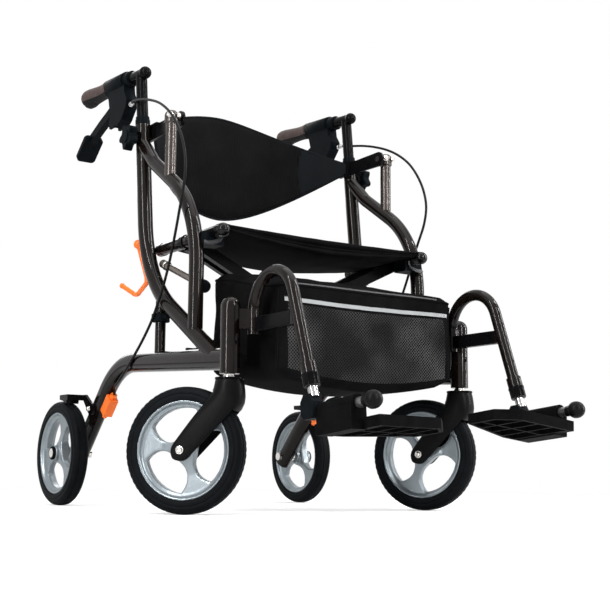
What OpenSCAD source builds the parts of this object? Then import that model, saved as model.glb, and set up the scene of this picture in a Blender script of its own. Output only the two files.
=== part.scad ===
/* [Frame] */
// Distance from the middle plane to the centre plane of each side frame
frame_x = 245; // [241:1:250]
// Outside diameter of the upright and of the sloping tube it bends into
main_d = 28; // [27:0.5:28.5]
// Outside diameter of the front post and the curved tube above it
loop_d = 26; // [22:0.5:26]
// Height of the flat oval lower rail
rail_tall = 36; // [32:1:38]
// Sideways thickness of the flat oval lower rail
rail_wide = 29; // [29:0.5:30]
// Backward lean of the upright, in millimetres per millimetre of height
lean = 0.117; // [0.1:0.001:0.13]
// Height of the open top of the upright
upright_top = 718; // [700:1:725]
// Outside diameter of the head tube over each caster
head_d = 32; // [31:0.5:34]

/* [Wheels] */
// Outside diameter of all four wheels
wheel_d = 203.2; // [196:0.4:204]
// Tread width of the tyres
tyre_w = 30; // [26:1:32]
// Inside radius of the tyre where it sits on the rim
tyre_seat_r = 79.5; // [76:0.5:81]
// Distance from the middle plane to the rear wheel centres
rear_wheel_x = 285; // [283:1:290]
// Horizontal distance from the caster stem back to its axle
caster_trail = 73; // [70:1:74]
// Swivel of the right caster from straight back
caster_turn_right = 38; // [0:1:40]
// Swivel of the left caster from straight back
caster_turn_left = 23; // [0:1:30]

/* [Handles] */
// Outside diameter of the handle pole and hand bar
pole_d = 22; // [20:0.5:22]
// Height of the hand bar above the floor where it crosses the pole
bar_z = 824; // [810:1:840]
// Length of the hand grip
grip_len = 116; // [105:1:120]
// Tip circle of the height knob
knob_d = 50; // [44:1:52]

/* [Seat and back] */
// Distance from the middle plane to the seat rails
seat_rail_x = 218.5; // [218:0.5:222]
// Height of the seat rail centres
seat_rail_z = 474; // [470:1:478]
// Outside diameter of the seat rails
seat_rail_d = 22; // [20:0.5:22]
// Backward bow of the backrest sling
back_bow = 150; // [120:1:160]
// Height of the padded middle of the backrest
back_tall = 218; // [190:1:225]

/* [Footrests] */
// Outside diameter of the bent footrest tube
hanger_d = 20; // [19:0.5:21]
// Length of each footplate from its hinge to its inner edge
plate_w = 150; // [125:1:175]
// Depth of each footplate from front to back
plate_l = 126; // [110:1:140]
// Rise of the footplates towards their toe end in degrees
foot_pitch = 5.5; // [0:0.5:8]
// Upward tilt of the right footplate towards the middle in degrees
plate_tilt_right = -1; // [-2:0.5:8]
// Upward tilt of the left footplate towards the middle in degrees
plate_tilt_left = 7.5; // [-2:0.5:8]

/* [Fits] */
// Radial play of every turning or sliding fit
run_fit = 0.08; // [0.05:0.01:0.1]
// Free gap between parts that pass each other
gap = 0.4; // [0.3:0.1:0.6]

/* [Hidden] */
$fn = 64;
// plan centre of the whole object at rest, measured from the chair's middle plane
origin_x = -26.1;
origin_y = 29.6;
black = [0.035, 0.035, 0.038];
frame_col = [0.055, 0.048, 0.044];
silver = [0.56, 0.6, 0.63];
chrome = [0.72, 0.72, 0.73];
orange = [1.0, 0.35, 0.05];
taupe = [0.25, 0.2, 0.195];
fabric = [0.03, 0.03, 0.032];
wheel_r = wheel_d / 2;
// upright axis at a height
function up_y(z) = 170 + (z - 498) * lean;
lean_deg = atan(lean);
main_path = [[up_y(upright_top), upright_top], [up_y(413), 413], [-108, 249.5]];
main_bend = [0, 230, 0];
loop_path = [[-27, 299], [-27, 520], [140, 632.5], [up_y(682), 682]];
loop_bend = [0, 195, 80, 0];
rail_slope = 0.0566;
function rail_z(y) = 251 + (y + 70) * rail_slope;
rail_path = [[-146, rail_z(-146)], [268, rail_z(268)], [446, 89.2]];
rail_bend = [0, 150, 0];
axle_y = 433.6;
head_y = -144;
head_bot = 222.8;
head_top = 291;
post_x = 247;
post_y = 74;
flip_z = 703;
pivot_x = 206;
pivot_z = 266;
pivot_d = 12;
arm_y = [12, 88];
arm_inner_y = [36, 64];
arm_t = 12;
cross_z = pivot_z + (seat_rail_z - pivot_z) * pivot_x / (pivot_x + seat_rail_x);
bar_rise = 4.1;
bar_y0 = 192;
grip_y = 346;
lever_y = 306;
lever_z = 790;
brake_y = 350;
brake_z = 186;
hinge_x = 203;
hinge_y = -332;
hinge_z = 156.4;
leg_x = 212;
leg_deg = 19.4;
leg_foot = [-318.5, 221];
cable_r = 2.5;
band = 0.1;
right_route = [
  [-250.2, 238, 772], [-254, 226, 771.5], [-260, 207, 768], [-263, 170, 760], [-265, 130, 748],
  [-267, 90, 732], [-269, 55, 712], [-270, 25, 688], [-270, 0, 658], [-270, -18, 625],
  [-270, -26, 590], [-269, -20, 555], [-267, -4, 520], [-265, 12, 485], [-264, 28, 448],
  [-263, 45, 415], [-262.5, 66, 380], [-262.2, 97, 339], [-262.2, 118, 317], [-262.2, 146, 293],
  [-262.2, 190, 260], [-262.2, 222, 238], [-260, 243, 228.5], [-256, 260, 225], [-250, 273, 221.5],
  [-246, 282, 215.6], [-245, 286.1, 211.8]
];

// which sub-part to draw

// moves the chair so that the plan centre of its outline is the origin
module placed() {
  translate([-origin_x, -origin_y, 0]) children();
}

// right side as drawn, left side mirrored
module side(s) {
  if (s < 0) children();
  if (s > 0) mirror([1, 0, 0]) children();
}

// round or flat oval section
module oval(w, h) {
  if (w == h) circle(d = w);
  if (h > w) {
    square([w, h - w], center = true);
    for (k = [-1, 1]) translate([0, k * (h - w) / 2]) circle(d = w);
  }
  if (w > h) {
    square([w - h, h], center = true);
    for (k = [-1, 1]) translate([k * (w - h) / 2, 0]) circle(d = h);
  }
}

function heading(p, q) = atan2(q[1] - p[1], q[0] - p[0]);
function turned(a) = a > 180 ? a - 360 : a < -180 ? a + 360 : a;

// straight run i of a tube bent along points of the fore-and-aft plane
function legs(pts) = [for (i = [0 : len(pts) - 2]) heading(pts[i], pts[i + 1])];
function cuts(pts, rads) = let (a = legs(pts), n = len(pts))
  [for (i = [0 : n - 1]) (i == 0 || i == n - 1) ? 0 : rads[i] * tan(abs(turned(a[i] - a[i - 1])) / 2)];
module run_of(pts, rads, tall, wide, i) {
  a = legs(pts);
  t = cuts(pts, rads);
  s = pts[i] + t[i] * [cos(a[i]), sin(a[i])];
  run = norm(pts[i + 1] - pts[i]) - t[i] - t[i + 1];
  translate([0, s[0], s[1]]) rotate([a[i] - 90, 0, 0]) linear_extrude(height = run) oval(wide, tall);
}

// bend at corner i of the same tube
module bend_of(pts, rads, tall, wide, i) {
  a = legs(pts);
  t = cuts(pts, rads);
  w = turned(a[i] - a[i - 1]);
  b = pts[i] - t[i] * [cos(a[i - 1]), sin(a[i - 1])];
  c = b + rads[i] * sign(w) * [-sin(a[i - 1]), cos(a[i - 1])];
  st = w > 0 ? a[i - 1] - 90 : a[i] + 90;
  translate([0, c[0], c[1]]) rotate([90, 0, 90]) rotate([0, 0, st])
    rotate_extrude(angle = abs(w)) translate([rads[i], 0]) oval(tall, wide);
}

// thin weld band over both ends of the bend at corner i
module bands_of(pts, rads, tall, wide, i) {
  a = legs(pts);
  t = cuts(pts, rads);
  for (k = [0, 1]) {
    q = pts[i] + (k == 0 ? -1 : 1) * t[i] * [cos(a[i - 1 + k]), sin(a[i - 1 + k])];
    translate([0, q[0], q[1]]) rotate([a[i - 1 + k] - 90, 0, 0])
      linear_extrude(height = 2, center = true) oval(wide + 2 * band, tall + 2 * band);
  }
}

// whole bent tube
module bent(pts, rads, tall, wide) {
  for (i = [0 : len(pts) - 2]) run_of(pts, rads, tall, wide, i);
  for (i = [1 : 1 : len(pts) - 2]) bend_of(pts, rads, tall, wide, i);
  for (i = [1 : 1 : len(pts) - 2]) bands_of(pts, rads, tall, wide, i);
}

// plate cut to a side outline, standing at x and thick towards the middle
module side_plate(x, thick) {
  translate([x, 0, 0]) rotate([90, 0, 90]) linear_extrude(height = thick) children();
}

// round bar lying sideways
module cross_pin(x, y, z, d, length) {
  translate([x, y, z]) rotate([0, 90, 0]) cylinder(d = d, h = length);
}

// round bar lying fore and aft
module long_pin(x, y, z, d, length) {
  translate([x, y, z]) rotate([-90, 0, 0]) cylinder(d = d, h = length);
}

// places its child on the upright axis at a height, pointing up the pole
module on_pole(z) {
  translate([-frame_x, up_y(z), z]) rotate([-lean_deg, 0, 0]) children();
}

module upright_solid() {
  translate([-frame_x, 0, 0]) run_of(main_path, main_bend, main_d, main_d, 0);
}

module elbow_solid() {
  translate([-frame_x, 0, 0]) bend_of(main_path, main_bend, main_d, main_d, 1);
}

module slope_solid() {
  translate([-frame_x, 0, 0]) run_of(main_path, main_bend, main_d, main_d, 1);
}

module loop_solid() {
  translate([-frame_x, 0, 0]) bent(loop_path, loop_bend, loop_d, loop_d);
}

module rail_straight() {
  translate([-frame_x, 0, 0]) bent([rail_path[0], [200, rail_z(200)]], [0, 0], rail_tall, rail_wide);
}

// upright with its bore for the handle pole, bent into the sloping tube
module main_tube(s) {
  color(frame_col) placed() side(s) {
    difference() {
      upright_solid();
      on_pole(545) cylinder(d = pole_d + 2 * run_fit, h = 200);
      on_pole(690) rotate([0, -90, 0]) cylinder(d = 8, h = 30);
    }
    elbow_solid();
    translate([-frame_x, 0, 0]) bands_of(main_path, main_bend, main_d, main_d, 1);
    difference() {
      slope_solid();
      rail_straight();
    }
  }
}

// front post curving back up into the upright
module loop_tube(s) {
  color(frame_col) placed() side(s) {
    difference() {
      translate([-frame_x, 0, 0]) run_of(loop_path, loop_bend, loop_d, loop_d, 0);
      slope_solid();
    }
    translate([-frame_x, 0, 0]) bend_of(loop_path, loop_bend, loop_d, loop_d, 1);
    translate([-frame_x, 0, 0]) run_of(loop_path, loop_bend, loop_d, loop_d, 1);
    translate([-frame_x, 0, 0]) bend_of(loop_path, loop_bend, loop_d, loop_d, 2);
    for (i = [1, 2]) translate([-frame_x, 0, 0]) bands_of(loop_path, loop_bend, loop_d, loop_d, i);
    difference() {
      translate([-frame_x, 0, 0]) run_of(loop_path, loop_bend, loop_d, loop_d, 2);
      upright_solid();
    }
  }
}

// lower rail with rear strut, head tube, short strut, axle boss and the cross brace pivot
module lower_rail(s) {
  color(frame_col) placed() side(s) {
    difference() {
      union() {
        translate([-frame_x, 0, 0]) bent(rail_path, rail_bend, rail_tall, rail_wide);
        translate([-frame_x, head_y, head_bot]) cylinder(d = head_d, h = head_top - head_bot);
        difference() {
          translate([-frame_x, 101, 262]) cylinder(d = 19, h = 124);
          elbow_solid();
        }
        translate([-frame_x, 101, 333]) cylinder(d = 29, h = 11);
        for (y = [0, 94.4]) translate([-frame_x, y, pivot_z - 11]) cube([frame_x - pivot_x, 5.6, 22]);
        for (y = [0, 94.4]) long_pin(-pivot_x, y, pivot_z, 22, 5.6);
        long_pin(-pivot_x, -3, pivot_z, pivot_d, 106);
      }
      translate([-frame_x, head_y, head_bot - 1]) cylinder(d = 16 + 2 * run_fit, h = 32);
      translate([-frame_x, head_y, head_top - 26]) cylinder(d = 18 + 2 * run_fit, h = 30);
      cross_pin(-frame_x - 20, axle_y, wheel_r, 10, 40);
      cross_pin(-frame_x - 20, brake_y, brake_z, 8, 20);
      translate([-frame_x, head_y - 13, 272]) rotate([90, 0, 0]) cylinder(d = 7, h = 6);
    }
  }
}

// backrest post with a round knuckle, two bolts and the flip pin
module back_post(s) {
  color(frame_col) placed() side(s) difference() {
    union() {
      translate([-post_x, post_y, flip_z]) rotate_extrude()
        polygon([[0, -115], [10.5, -115], [10.5, -13], [13, -10], [13, 3], [11.6, 8], [8, 11.6], [3.5, 13], [0, 13]]);
      for (q = [-40, 35]) translate([-post_x, post_y, flip_z + 2]) rotate([90, 0, q]) cylinder(d = 8, h = 14.5);
      cross_pin(-post_x, post_y, flip_z, 8, post_x - 226);
      cross_pin(-226.4, post_y, flip_z, 12, 1.2);
    }
    loop_solid();
  }
}

// collar closing the top of the upright around the pole
module pole_collar(s) {
  color(black) placed() side(s) on_pole(upright_top) difference() {
    union() {
      cylinder(d = main_d, h = 11);
      translate([0, 0, 11]) cylinder(d = 26, h = 6);
    }
    translate([0, 0, -1]) cylinder(d = pole_d + 2 * run_fit, h = 20);
  }
}

// telescoping pole with the hand bar across its top and a ball at the front end
module handle_pole(s) {
  color(black) placed() side(s) {
    on_pole(562) cylinder(d = pole_d, h = (bar_z - 562) / cos(lean_deg));
    translate([-frame_x, bar_y0, bar_z - 1]) rotate([bar_rise - 90, 0, 0]) cylinder(d = pole_d, h = 262);
    translate([-frame_x, bar_y0, bar_z - 1]) sphere(d = pole_d + 2);
  }
}

// along the hand bar from its front end
module on_bar(along) {
  translate([-frame_x, bar_y0, bar_z - 1]) rotate([bar_rise - 90, 0, 0]) translate([0, 0, along]) children();
}

// shaped hand grip with a flared end and a palm rest underneath
module grip(s) {
  color(taupe) placed() side(s) on_bar(grip_y - bar_y0) difference() {
    union() {
      rotate_extrude() polygon([[0, 0], [17, 0], [18, 4], [17, 10], [15.5, 26], [15.5, 44], [17, 70], [18.5, 92], [18.5, 106], [17, 113], [14, grip_len], [0, grip_len]]);
      translate([0, 8, 62]) rotate_extrude() polygon([[0, 0], [6, 2], [11, 12], [13.5, 28], [13.5, 42], [11, 50], [6, 53], [0, 54]]);
    }
    translate([0, 0, -1]) cylinder(d = pole_d, h = 109);
  }
}

// brake housing clamped on the hand bar, slotted for the lever
module brake_housing(s) {
  color(black) placed() side(s) difference() {
    union() {
      on_bar(74) cylinder(d = 36, h = 76);
      on_bar(52) cylinder(d = 30, h = 20);
      side_plate(-frame_x - 12, 24) polygon([[262, 824], [258, 800], [247, 784], [251, 768], [270, 748], [288, 739], [298, 744], [304, 741], [322, 741], [326, 752], [322, 772], [330, 800], [338, 826]]);
      translate([-frame_x, 262, 772]) rotate([90, 0, -12]) cylinder(d = 8, h = 24);
    }
    on_bar(40) cylinder(d = pole_d, h = 120);
    difference() {
      side_plate(-frame_x - 7.4, 14.8) polygon([[282, 812], [282, 776], [290, 762], [314, 730], [345, 730], [345, 812]]);
      cross_pin(-frame_x - 10, lever_y, lever_z, 7, 20);
    }
  }
}

// brake lever with a flat paddle at its end
module brake_lever(s) {
  color(black) placed() side(s) difference() {
    union() {
      side_plate(-frame_x - 7, 14) polygon([[297, 796], [302, 800], [312, 799], [338, 789], [385, 773], [430, 755], [438, 748], [430, 738], [384, 755], [336, 771], [312, 779], [302, 781], [297, 785]]);
      translate([-frame_x - 20, 420, 750]) rotate([-39, 0, 0]) {
        translate([0, 8, -4]) cube([40, 46, 9]);
        translate([8, 0, -4]) cube([24, 62, 9]);
        for (p = [[8, 8], [32, 8], [8, 54], [32, 54]]) translate([p[0], p[1], -4]) cylinder(r = 8, h = 9);
      }
    }
    cross_pin(-frame_x - 20, lever_y, lever_z, 7 + 2 * run_fit, 40);
  }
}

// star shaped height knob on the outside of the upright
module height_knob(s) {
  color(black) placed() side(s) on_pole(690) rotate([0, -90, 0]) {
    translate([0, 0, 12.5]) cylinder(d = 7, h = 8);
    translate([0, 0, main_d / 2 + gap]) cylinder(d = 18, h = 8);
    translate([0, 0, main_d / 2 + 8]) linear_extrude(height = 16) {
      circle(r = knob_d * 0.34);
      for (k = [0 : 4]) rotate(k * 72 + 18) polygon([[0, -knob_d * 0.3], [knob_d * 0.44, -5], [knob_d * 0.44, 5], [0, knob_d * 0.3]]);
      for (k = [0 : 4]) rotate(k * 72 + 18) translate([knob_d * 0.4, 0]) circle(r = knob_d * 0.1);
    }
    translate([0, 0, main_d / 2 + 24]) cylinder(d = 24, h = 2);
  }
}

// flat arm that carries one end of the backrest and flips on the post
module back_bracket(s) {
  color(black) placed() side(s) difference() {
    union() {
      side_plate(-230.6, 4) {
        translate([post_y, flip_z]) circle(r = 15);
        polygon([[post_y, flip_z - 15], [150, flip_z - 13], [206, 690], [206, 722], [150, flip_z + 14], [post_y, flip_z + 15]]);
      }
      translate([-230.6, 168, 690]) cube([6.4, 38, 32]);
    }
    cross_pin(-240, post_y, flip_z, 8 + 2 * run_fit, 30);
  }
}

// seat side rail with rounded end caps, welded to the top of one cross arm
module seat_rail(s) {
  color(black) placed() side(s) {
    long_pin(-seat_rail_x, -62, seat_rail_z, seat_rail_d, 220);
    long_pin(-seat_rail_x, -70, seat_rail_z, seat_rail_d + 2, 14);
    translate([-seat_rail_x, -70, seat_rail_z]) sphere(d = seat_rail_d + 2);
    long_pin(-seat_rail_x, 146, seat_rail_z, seat_rail_d + 2, 14);
  }
}

// open cradle on the front post that the seat rail rests in
module seat_saddle(s) {
  color(black) placed() side(s) difference() {
    union() {
      translate([-frame_x + 4, -44, 452]) cube([40, 34, 22]);
      long_pin(-seat_rail_x, -44, seat_rail_z, seat_rail_d + 12, 34);
    }
    long_pin(-seat_rail_x, -46, seat_rail_z, seat_rail_d + 2 * gap, 40);
    translate([-frame_x - 20, -46, seat_rail_z]) cube([90, 40, 30]);
    loop_solid();
  }
}

// one pair of cross bars from a lower pivot up to the opposite seat rail
module cross_bars(ys) {
  for (y = ys) difference() {
    union() {
      translate([0, y - arm_t / 2, 0]) rotate([90, 0, 0]) mirror([0, 0, 1]) linear_extrude(height = arm_t) {
        polygon([[-pivot_x - 3, pivot_z + 9], [-pivot_x + 4, pivot_z - 9], [seat_rail_x - 1, seat_rail_z - 15], [seat_rail_x - 12, seat_rail_z + 2]]);
        translate([-pivot_x, pivot_z]) circle(d = 24);
        translate([0, cross_z]) circle(d = 26);
        translate([seat_rail_x, seat_rail_z]) circle(d = seat_rail_d + 4);
      }
    }
    long_pin(-pivot_x, y - 10, pivot_z, pivot_d + 2 * run_fit, 20);
    long_pin(seat_rail_x, y - 10, seat_rail_z, seat_rail_d, 20);
  }
}

// cross arm from the right lower rail to the left seat rail, with the centre bolt
module cross_arm_a() {
  color(black) placed() {
    cross_bars(arm_y);
    long_pin(0, 3, cross_z, 10, 94);
    for (y = [1, 94]) long_pin(0, y, cross_z, 18, 5);
  }
}

// cross arm from the left lower rail to the right seat rail
module cross_arm_b() {
  color(black) placed() mirror([1, 0, 0]) difference() {
    union() {
      cross_bars(arm_inner_y);
      long_pin(0, 40, cross_z, 18, 20);
    }
    long_pin(0, 0, cross_z, 10 + 2 * run_fit, 100);
  }
}

// stands its child at the caster stem, turned so that the trail runs along +Y
module at_caster(s) {
  turn = s < 0 ? caster_turn_right : caster_turn_left;
  translate([s * frame_x, head_y, 0]) rotate([0, 0, turn]) children();
}

// swivel fork with crown, two legs, stem and axle bolt
module caster_fork(s) {
  color(black) placed() at_caster(s) {
    translate([0, 0, 205]) cylinder(d = 16, h = 46);
    translate([0, 0, 214]) cylinder(d = 29, h = 4);
    difference() {
      union() {
        rotate_extrude() polygon([[0, 150], [20, 150], [27, 176], [27.5, 192], [23, 207], [17, 214.5], [0, 214.5]]);
        translate([-25, 0, 0]) rotate([90, 0, 90]) linear_extrude(height = 50) {
          polygon([[-25, 186], [-20, 168], [caster_trail - 17, wheel_r - 8], [caster_trail + 15, wheel_r + 10], [26, 194], [14, 204], [-14, 204]]);
          translate([caster_trail, wheel_r]) circle(r = 18);
        }
      }
      translate([-18.5, caster_trail, wheel_r]) rotate([0, 90, 0]) cylinder(r = wheel_r + 5, h = 37);
    }
    translate([-27, caster_trail, wheel_r]) rotate([0, 90, 0]) cylinder(d = 8, h = 54);
    for (x = [-28.5, 25]) translate([x, caster_trail, wheel_r]) rotate([0, 90, 0]) cylinder(d = 14, h = 3.5);
  }
}

// outline of one window between two spokes
function spoke_half(r) = 7.5 + 20 * pow(max(0, (r - 34) / 34), 2) + 7 * pow(max(0, (30 - r) / 12), 2);
function window_pts() = let (rs = [68, 66, 62, 57, 51, 45, 39, 33, 28, 24, 21.5])
  concat([for (k = [0 : 8]) let (e = asin(spoke_half(68) / 68), a = e + (120 - 2 * e) * k / 8) 68 * [cos(a), sin(a)]],
    [for (r = rs) let (a = 120 - asin(spoke_half(r) / r)) r * [cos(a), sin(a)]],
    [for (i = [len(rs) - 1 : -1 : 1]) let (r = rs[i], a = asin(spoke_half(r) / r)) r * [cos(a), sin(a)]]);

// three spoke wheel rim with flared spokes, lying on the axle line
module rim_body(bore, hub_w) {
  difference() {
    union() {
      rotate_extrude() polygon([[73, -8], [76, -14], [79.45, -14.6], [79.45, 14.6], [76, 14], [73, 8], [72, 0]]);
      difference() {
        rotate_extrude() polygon([[0, -9], [18, -9], [40, -6], [70, -7], [75, -9], [75, 9], [70, 7], [40, 6], [18, 9], [0, 9]]);
        for (k = [0 : 2]) rotate(k * 120) translate([0, 0, -20]) linear_extrude(height = 40) polygon(window_pts());
      }
      translate([0, 0, -hub_w / 2]) cylinder(r = 15, h = hub_w);
    }
    translate([0, 0, -40]) cylinder(d = bore + 2 * run_fit, h = 80);
  }
}

// tyre with a flat tread and rounded shoulders
module tyre_body() {
  rotate_extrude() polygon([[tyre_seat_r, -15], [88, -tyre_w / 2 - 0.6], [95, -tyre_w / 2 + 0.5], [99, -tyre_w / 2 + 3], [100.8, -tyre_w / 2 + 6], [wheel_r, -5], [wheel_r, 5], [100.8, tyre_w / 2 - 6], [99, tyre_w / 2 - 3], [95, tyre_w / 2 - 0.5], [88, tyre_w / 2 + 0.6], [tyre_seat_r, 15]]);
}

module caster_rim(s) {
  color(silver) placed() at_caster(s) translate([0, caster_trail, wheel_r]) rotate([0, 90, 0]) rotate(s * 20) rim_body(8, 36);
}

module caster_tyre(s) {
  color(black) placed() at_caster(s) translate([0, caster_trail, wheel_r]) rotate([0, 90, 0]) tyre_body();
}

// rear axle bolt with its head inside and cap outside
module rear_axle(s) {
  color(black) placed() side(s) {
    cross_pin(-rear_wheel_x - 19, axle_y, wheel_r, 10, rear_wheel_x + 19 - frame_x + rail_wide / 2 + 3);
    cross_pin(-rear_wheel_x - 23, axle_y, wheel_r, 18, 4.5);
    cross_pin(-frame_x + rail_wide / 2, axle_y, wheel_r, 17, 6);
    cross_pin(-rear_wheel_x + 18 + gap, axle_y, wheel_r, 18, rear_wheel_x - 18 - gap - frame_x - rail_wide / 2);
  }
}

module rear_rim(s) {
  color(silver) placed() side(s) translate([-rear_wheel_x, axle_y, wheel_r]) rotate([0, 90, 0]) rotate(75) rim_body(10, 36);
}

module rear_tyre(s) {
  color(black) placed() side(s) translate([-rear_wheel_x, axle_y, wheel_r]) rotate([0, 90, 0]) tyre_body();
}

// brake arm on the strut with the shoe that presses on the tyre
module brake_arm(s) {
  color(black) placed() side(s) difference() {
    union() {
      side_plate(-frame_x - rail_wide / 2 - 5.4, 5) {
        translate([brake_y, brake_z]) circle(r = 12);
        polygon([[brake_y - 11, brake_z + 5], [brake_y + 9, brake_z - 8], [386, 205], [424, 207], [424, 215], [376, 215]]);
      }
      side_plate(-rear_wheel_x - tyre_w / 2 + 2, 37) polygon([[386, 204], [424, 206], [424, 215], [386, 215]]);
      side_plate(-rear_wheel_x - tyre_w / 2 + 2, tyre_w - 4) polygon([[392, 195], [422, 195], [424, 210], [388, 210]]);
      cross_pin(-frame_x - rail_wide / 2 - 9, brake_y, brake_z, 14, 9);
      cross_pin(-frame_x - rail_wide / 2 - 6, brake_y, brake_z, 8 - 2 * run_fit, 20);
    }
    cross_pin(-rear_wheel_x - 40, axle_y, wheel_r, wheel_d + 6, 40 + tyre_w / 2 + gap);
  }
}

// along the rear strut from the corner of the lower rail
strut_deg = heading(rail_path[1], rail_path[2]);
module on_strut(along) {
  translate([0, rail_path[1][0] + along * cos(strut_deg), rail_path[1][1] + along * sin(strut_deg)])
    rotate([strut_deg, 0, 0]) children();
}

// cable adjuster block under the rear strut
module adjuster(s) {
  color(orange) placed() side(s) translate([-frame_x - 9, 0, 0]) on_strut(87) {
    translate([0, -24, -rail_tall / 2 - band - 20.1]) cube([18, 40, 20]);
    translate([9, -24, -rail_tall / 2 - 10]) rotate([90, 0, 0]) cylinder(d = 13, h = 8);
    translate([9, 16, -rail_tall / 2 - 10]) rotate([-90, 0, 0]) cylinder(d = 9, h = 9);
  }
}

// bent footrest tube with its socket over the head tube and an oval cross bar
module hanger(s) {
  color(frame_col) placed() side(s) difference() {
    union() {
      translate([-frame_x, head_y, head_top + gap]) cylinder(d = head_d, h = 40);
      translate([-frame_x, head_y, head_top + 40 + gap]) sphere(d = head_d);
      translate([-frame_x, head_y, head_top - 24]) cylinder(d = 18, h = 30);
      translate([-frame_x, head_y, head_top + 4]) rotate([0, 0, -29]) translate([0, -8, 0]) cube([36, 16, 32]);
      translate([-leg_x, 0, 0]) bent([[-162, 286], [-162, 665.5], leg_foot], [0, 58.3, 0], hanger_d, hanger_d);
      side_plate(-leg_x - 6, 12) polygon([[-162, 291], [-162, 313], [-288, 313], [-291, 291]]);
      translate([-leg_x, leg_foot[0], leg_foot[1]]) rotate([180 - leg_deg, 0, 0]) translate([0, 0, -8]) cylinder(d = hanger_d + 5, h = 36);
    }
    translate([-leg_x, leg_foot[0], leg_foot[1]]) rotate([180 - leg_deg, 0, 0]) translate([0, 0, -100]) cylinder(d = 16 + 2 * run_fit, h = 160);
    for (k = [0 : 2]) translate([-leg_x, leg_foot[0], leg_foot[1]]) rotate([180 - leg_deg, 0, 0]) translate([0, 0, -24 - 22 * k]) rotate([90, 0, 0]) cylinder(d = 5, h = 30);
  }
}

// stands its child on the footplate hinge, with Y along the hinge and the toe end at -Y
module on_hinge() {
  translate([-hinge_x, hinge_y, hinge_z]) rotate([-foot_pitch, 0, 0]) children();
}

// round bar along the footplate hinge from y
module hinge_pin(y, d, len) {
  translate([0, y, 0]) rotate([-90, 0, 0]) cylinder(d = d, h = len);
}

// sliding lower leg with hinge block, hinge rod and rubber buffer
module foot_tube(s) {
  color(chrome) placed() side(s) {
    translate([-leg_x, leg_foot[0], leg_foot[1]]) rotate([180 - leg_deg, 0, 0]) translate([0, 0, -80]) cylinder(d = 16, h = 128);
    on_hinge() {
      translate([hinge_x - leg_x - 11, -12, -11]) cube([22, 32, 37]);
      hinge_pin(-126, 12, 142);
      hinge_pin(-126, 16, 12);
      translate([0, -131, 0]) sphere(d = 27);
    }
  }
}

// six sided outline of the footplate, from its outer wall to the chamfered inner edge
plate_rear = -7;
plate_front = plate_rear - plate_l;
plate_outline = [[-13.5, plate_rear], [39, plate_rear], [plate_w, plate_rear - 0.3 * plate_l],
  [plate_w, plate_rear - 0.754 * plate_l], [plate_w - 30, plate_front], [8, plate_front], [8, -96], [-13.5, -96]];
pocket_outline = [[20, plate_rear - 6], [37, plate_rear - 6], [plate_w - 6, plate_rear - 0.3 * plate_l - 4],
  [plate_w - 6, plate_rear - 0.754 * plate_l + 3], [plate_w - 32, plate_front + 6], [20, plate_front + 6]];
function plate_right(y) = min(plate_w - 9, 31 + (plate_w - 39) * (plate_rear - y) / (0.3 * plate_l),
  plate_w - 9 - 30 * (plate_rear - 0.754 * plate_l - y) / (0.246 * plate_l));

// footplate with its hinge barrel over a side wall, raised ribs on top and a pocketed underside
module footplate(s) {
  tilt = s < 0 ? plate_tilt_right : plate_tilt_left;
  color(black) placed() side(s) on_hinge() difference() {
    union() {
      hinge_pin(-97.5, 26, 84.6);
      rotate([0, -tilt, 0]) {
        translate([-14, -98, -37.5]) cube([27.2, 85.6, 36]);
        difference() {
          translate([0, 0, -36]) linear_extrude(height = 16) polygon(plate_outline);
          difference() {
            translate([0, 0, -37]) linear_extrude(height = 12) polygon(pocket_outline);
            for (x = [48, 80, 112]) translate([x, plate_front, -40]) cube([4, plate_l, 20]);
            translate([0, plate_rear - 0.53 * plate_l, -40]) cube([plate_w, 4, 20]);
          }
        }
        for (k = [0 : 5]) let (y = plate_rear - 0.15 * plate_l - 13 * k)
          translate([22, y, -20.5]) cube([min(plate_right(y), plate_right(y + 5)) - 22, 5, 2]);
      }
    }
    hinge_pin(-150, 12 + 2 * run_fit, 170);
  }
}

// smooth path through the route points and rings of a cord swept along it
function mix(p, q, r, w, t) = 0.5 * (2 * q + t * (r - p) + t * t * (2 * p - 5 * q + 4 * r - w) + t * t * t * (3 * q - p - 3 * r + w));
function path_of(pts, per) = let (n = len(pts))
  [for (i = [0 : n - 2], k = [0 : per - 1]) mix(pts[max(i - 1, 0)], pts[i], pts[i + 1], pts[min(i + 2, n - 1)], k / per), pts[n - 1]];
function unit(v) = v / norm(v);
function tangent(p, i) = unit(p[min(i + 1, len(p) - 1)] - p[max(i - 1, 0)]);

module cord(pts, r, sides) {
  p = path_of(pts, 3);
  n = len(p);
  rings = [for (i = [0 : n - 1]) let (t = tangent(p, i), u = unit(cross(t, [1, 0, 0])), w = cross(t, u))
    for (k = [0 : sides - 1]) p[i] + r * (cos(k * 360 / sides) * u + sin(k * 360 / sides) * w)];
  faces = concat([[for (k = [0 : sides - 1]) k]],
    [for (i = [0 : n - 2], k = [0 : sides - 1]) [i * sides + k, (i + 1) * sides + k, (i + 1) * sides + (k + 1) % sides]],
    [for (i = [0 : n - 2], k = [0 : sides - 1]) [i * sides + k, (i + 1) * sides + (k + 1) % sides, i * sides + (k + 1) % sides]],
    [[for (k = [sides - 1 : -1 : 0]) (n - 1) * sides + k]]);
  polyhedron(points = rings, faces = faces, convexity = 6);
}

// brake cable from the lever housing, past the clip, to the adjuster
module brake_cable(s) {
  color(black) placed() side(s) cord(right_route, cable_r, 8);
}

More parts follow.
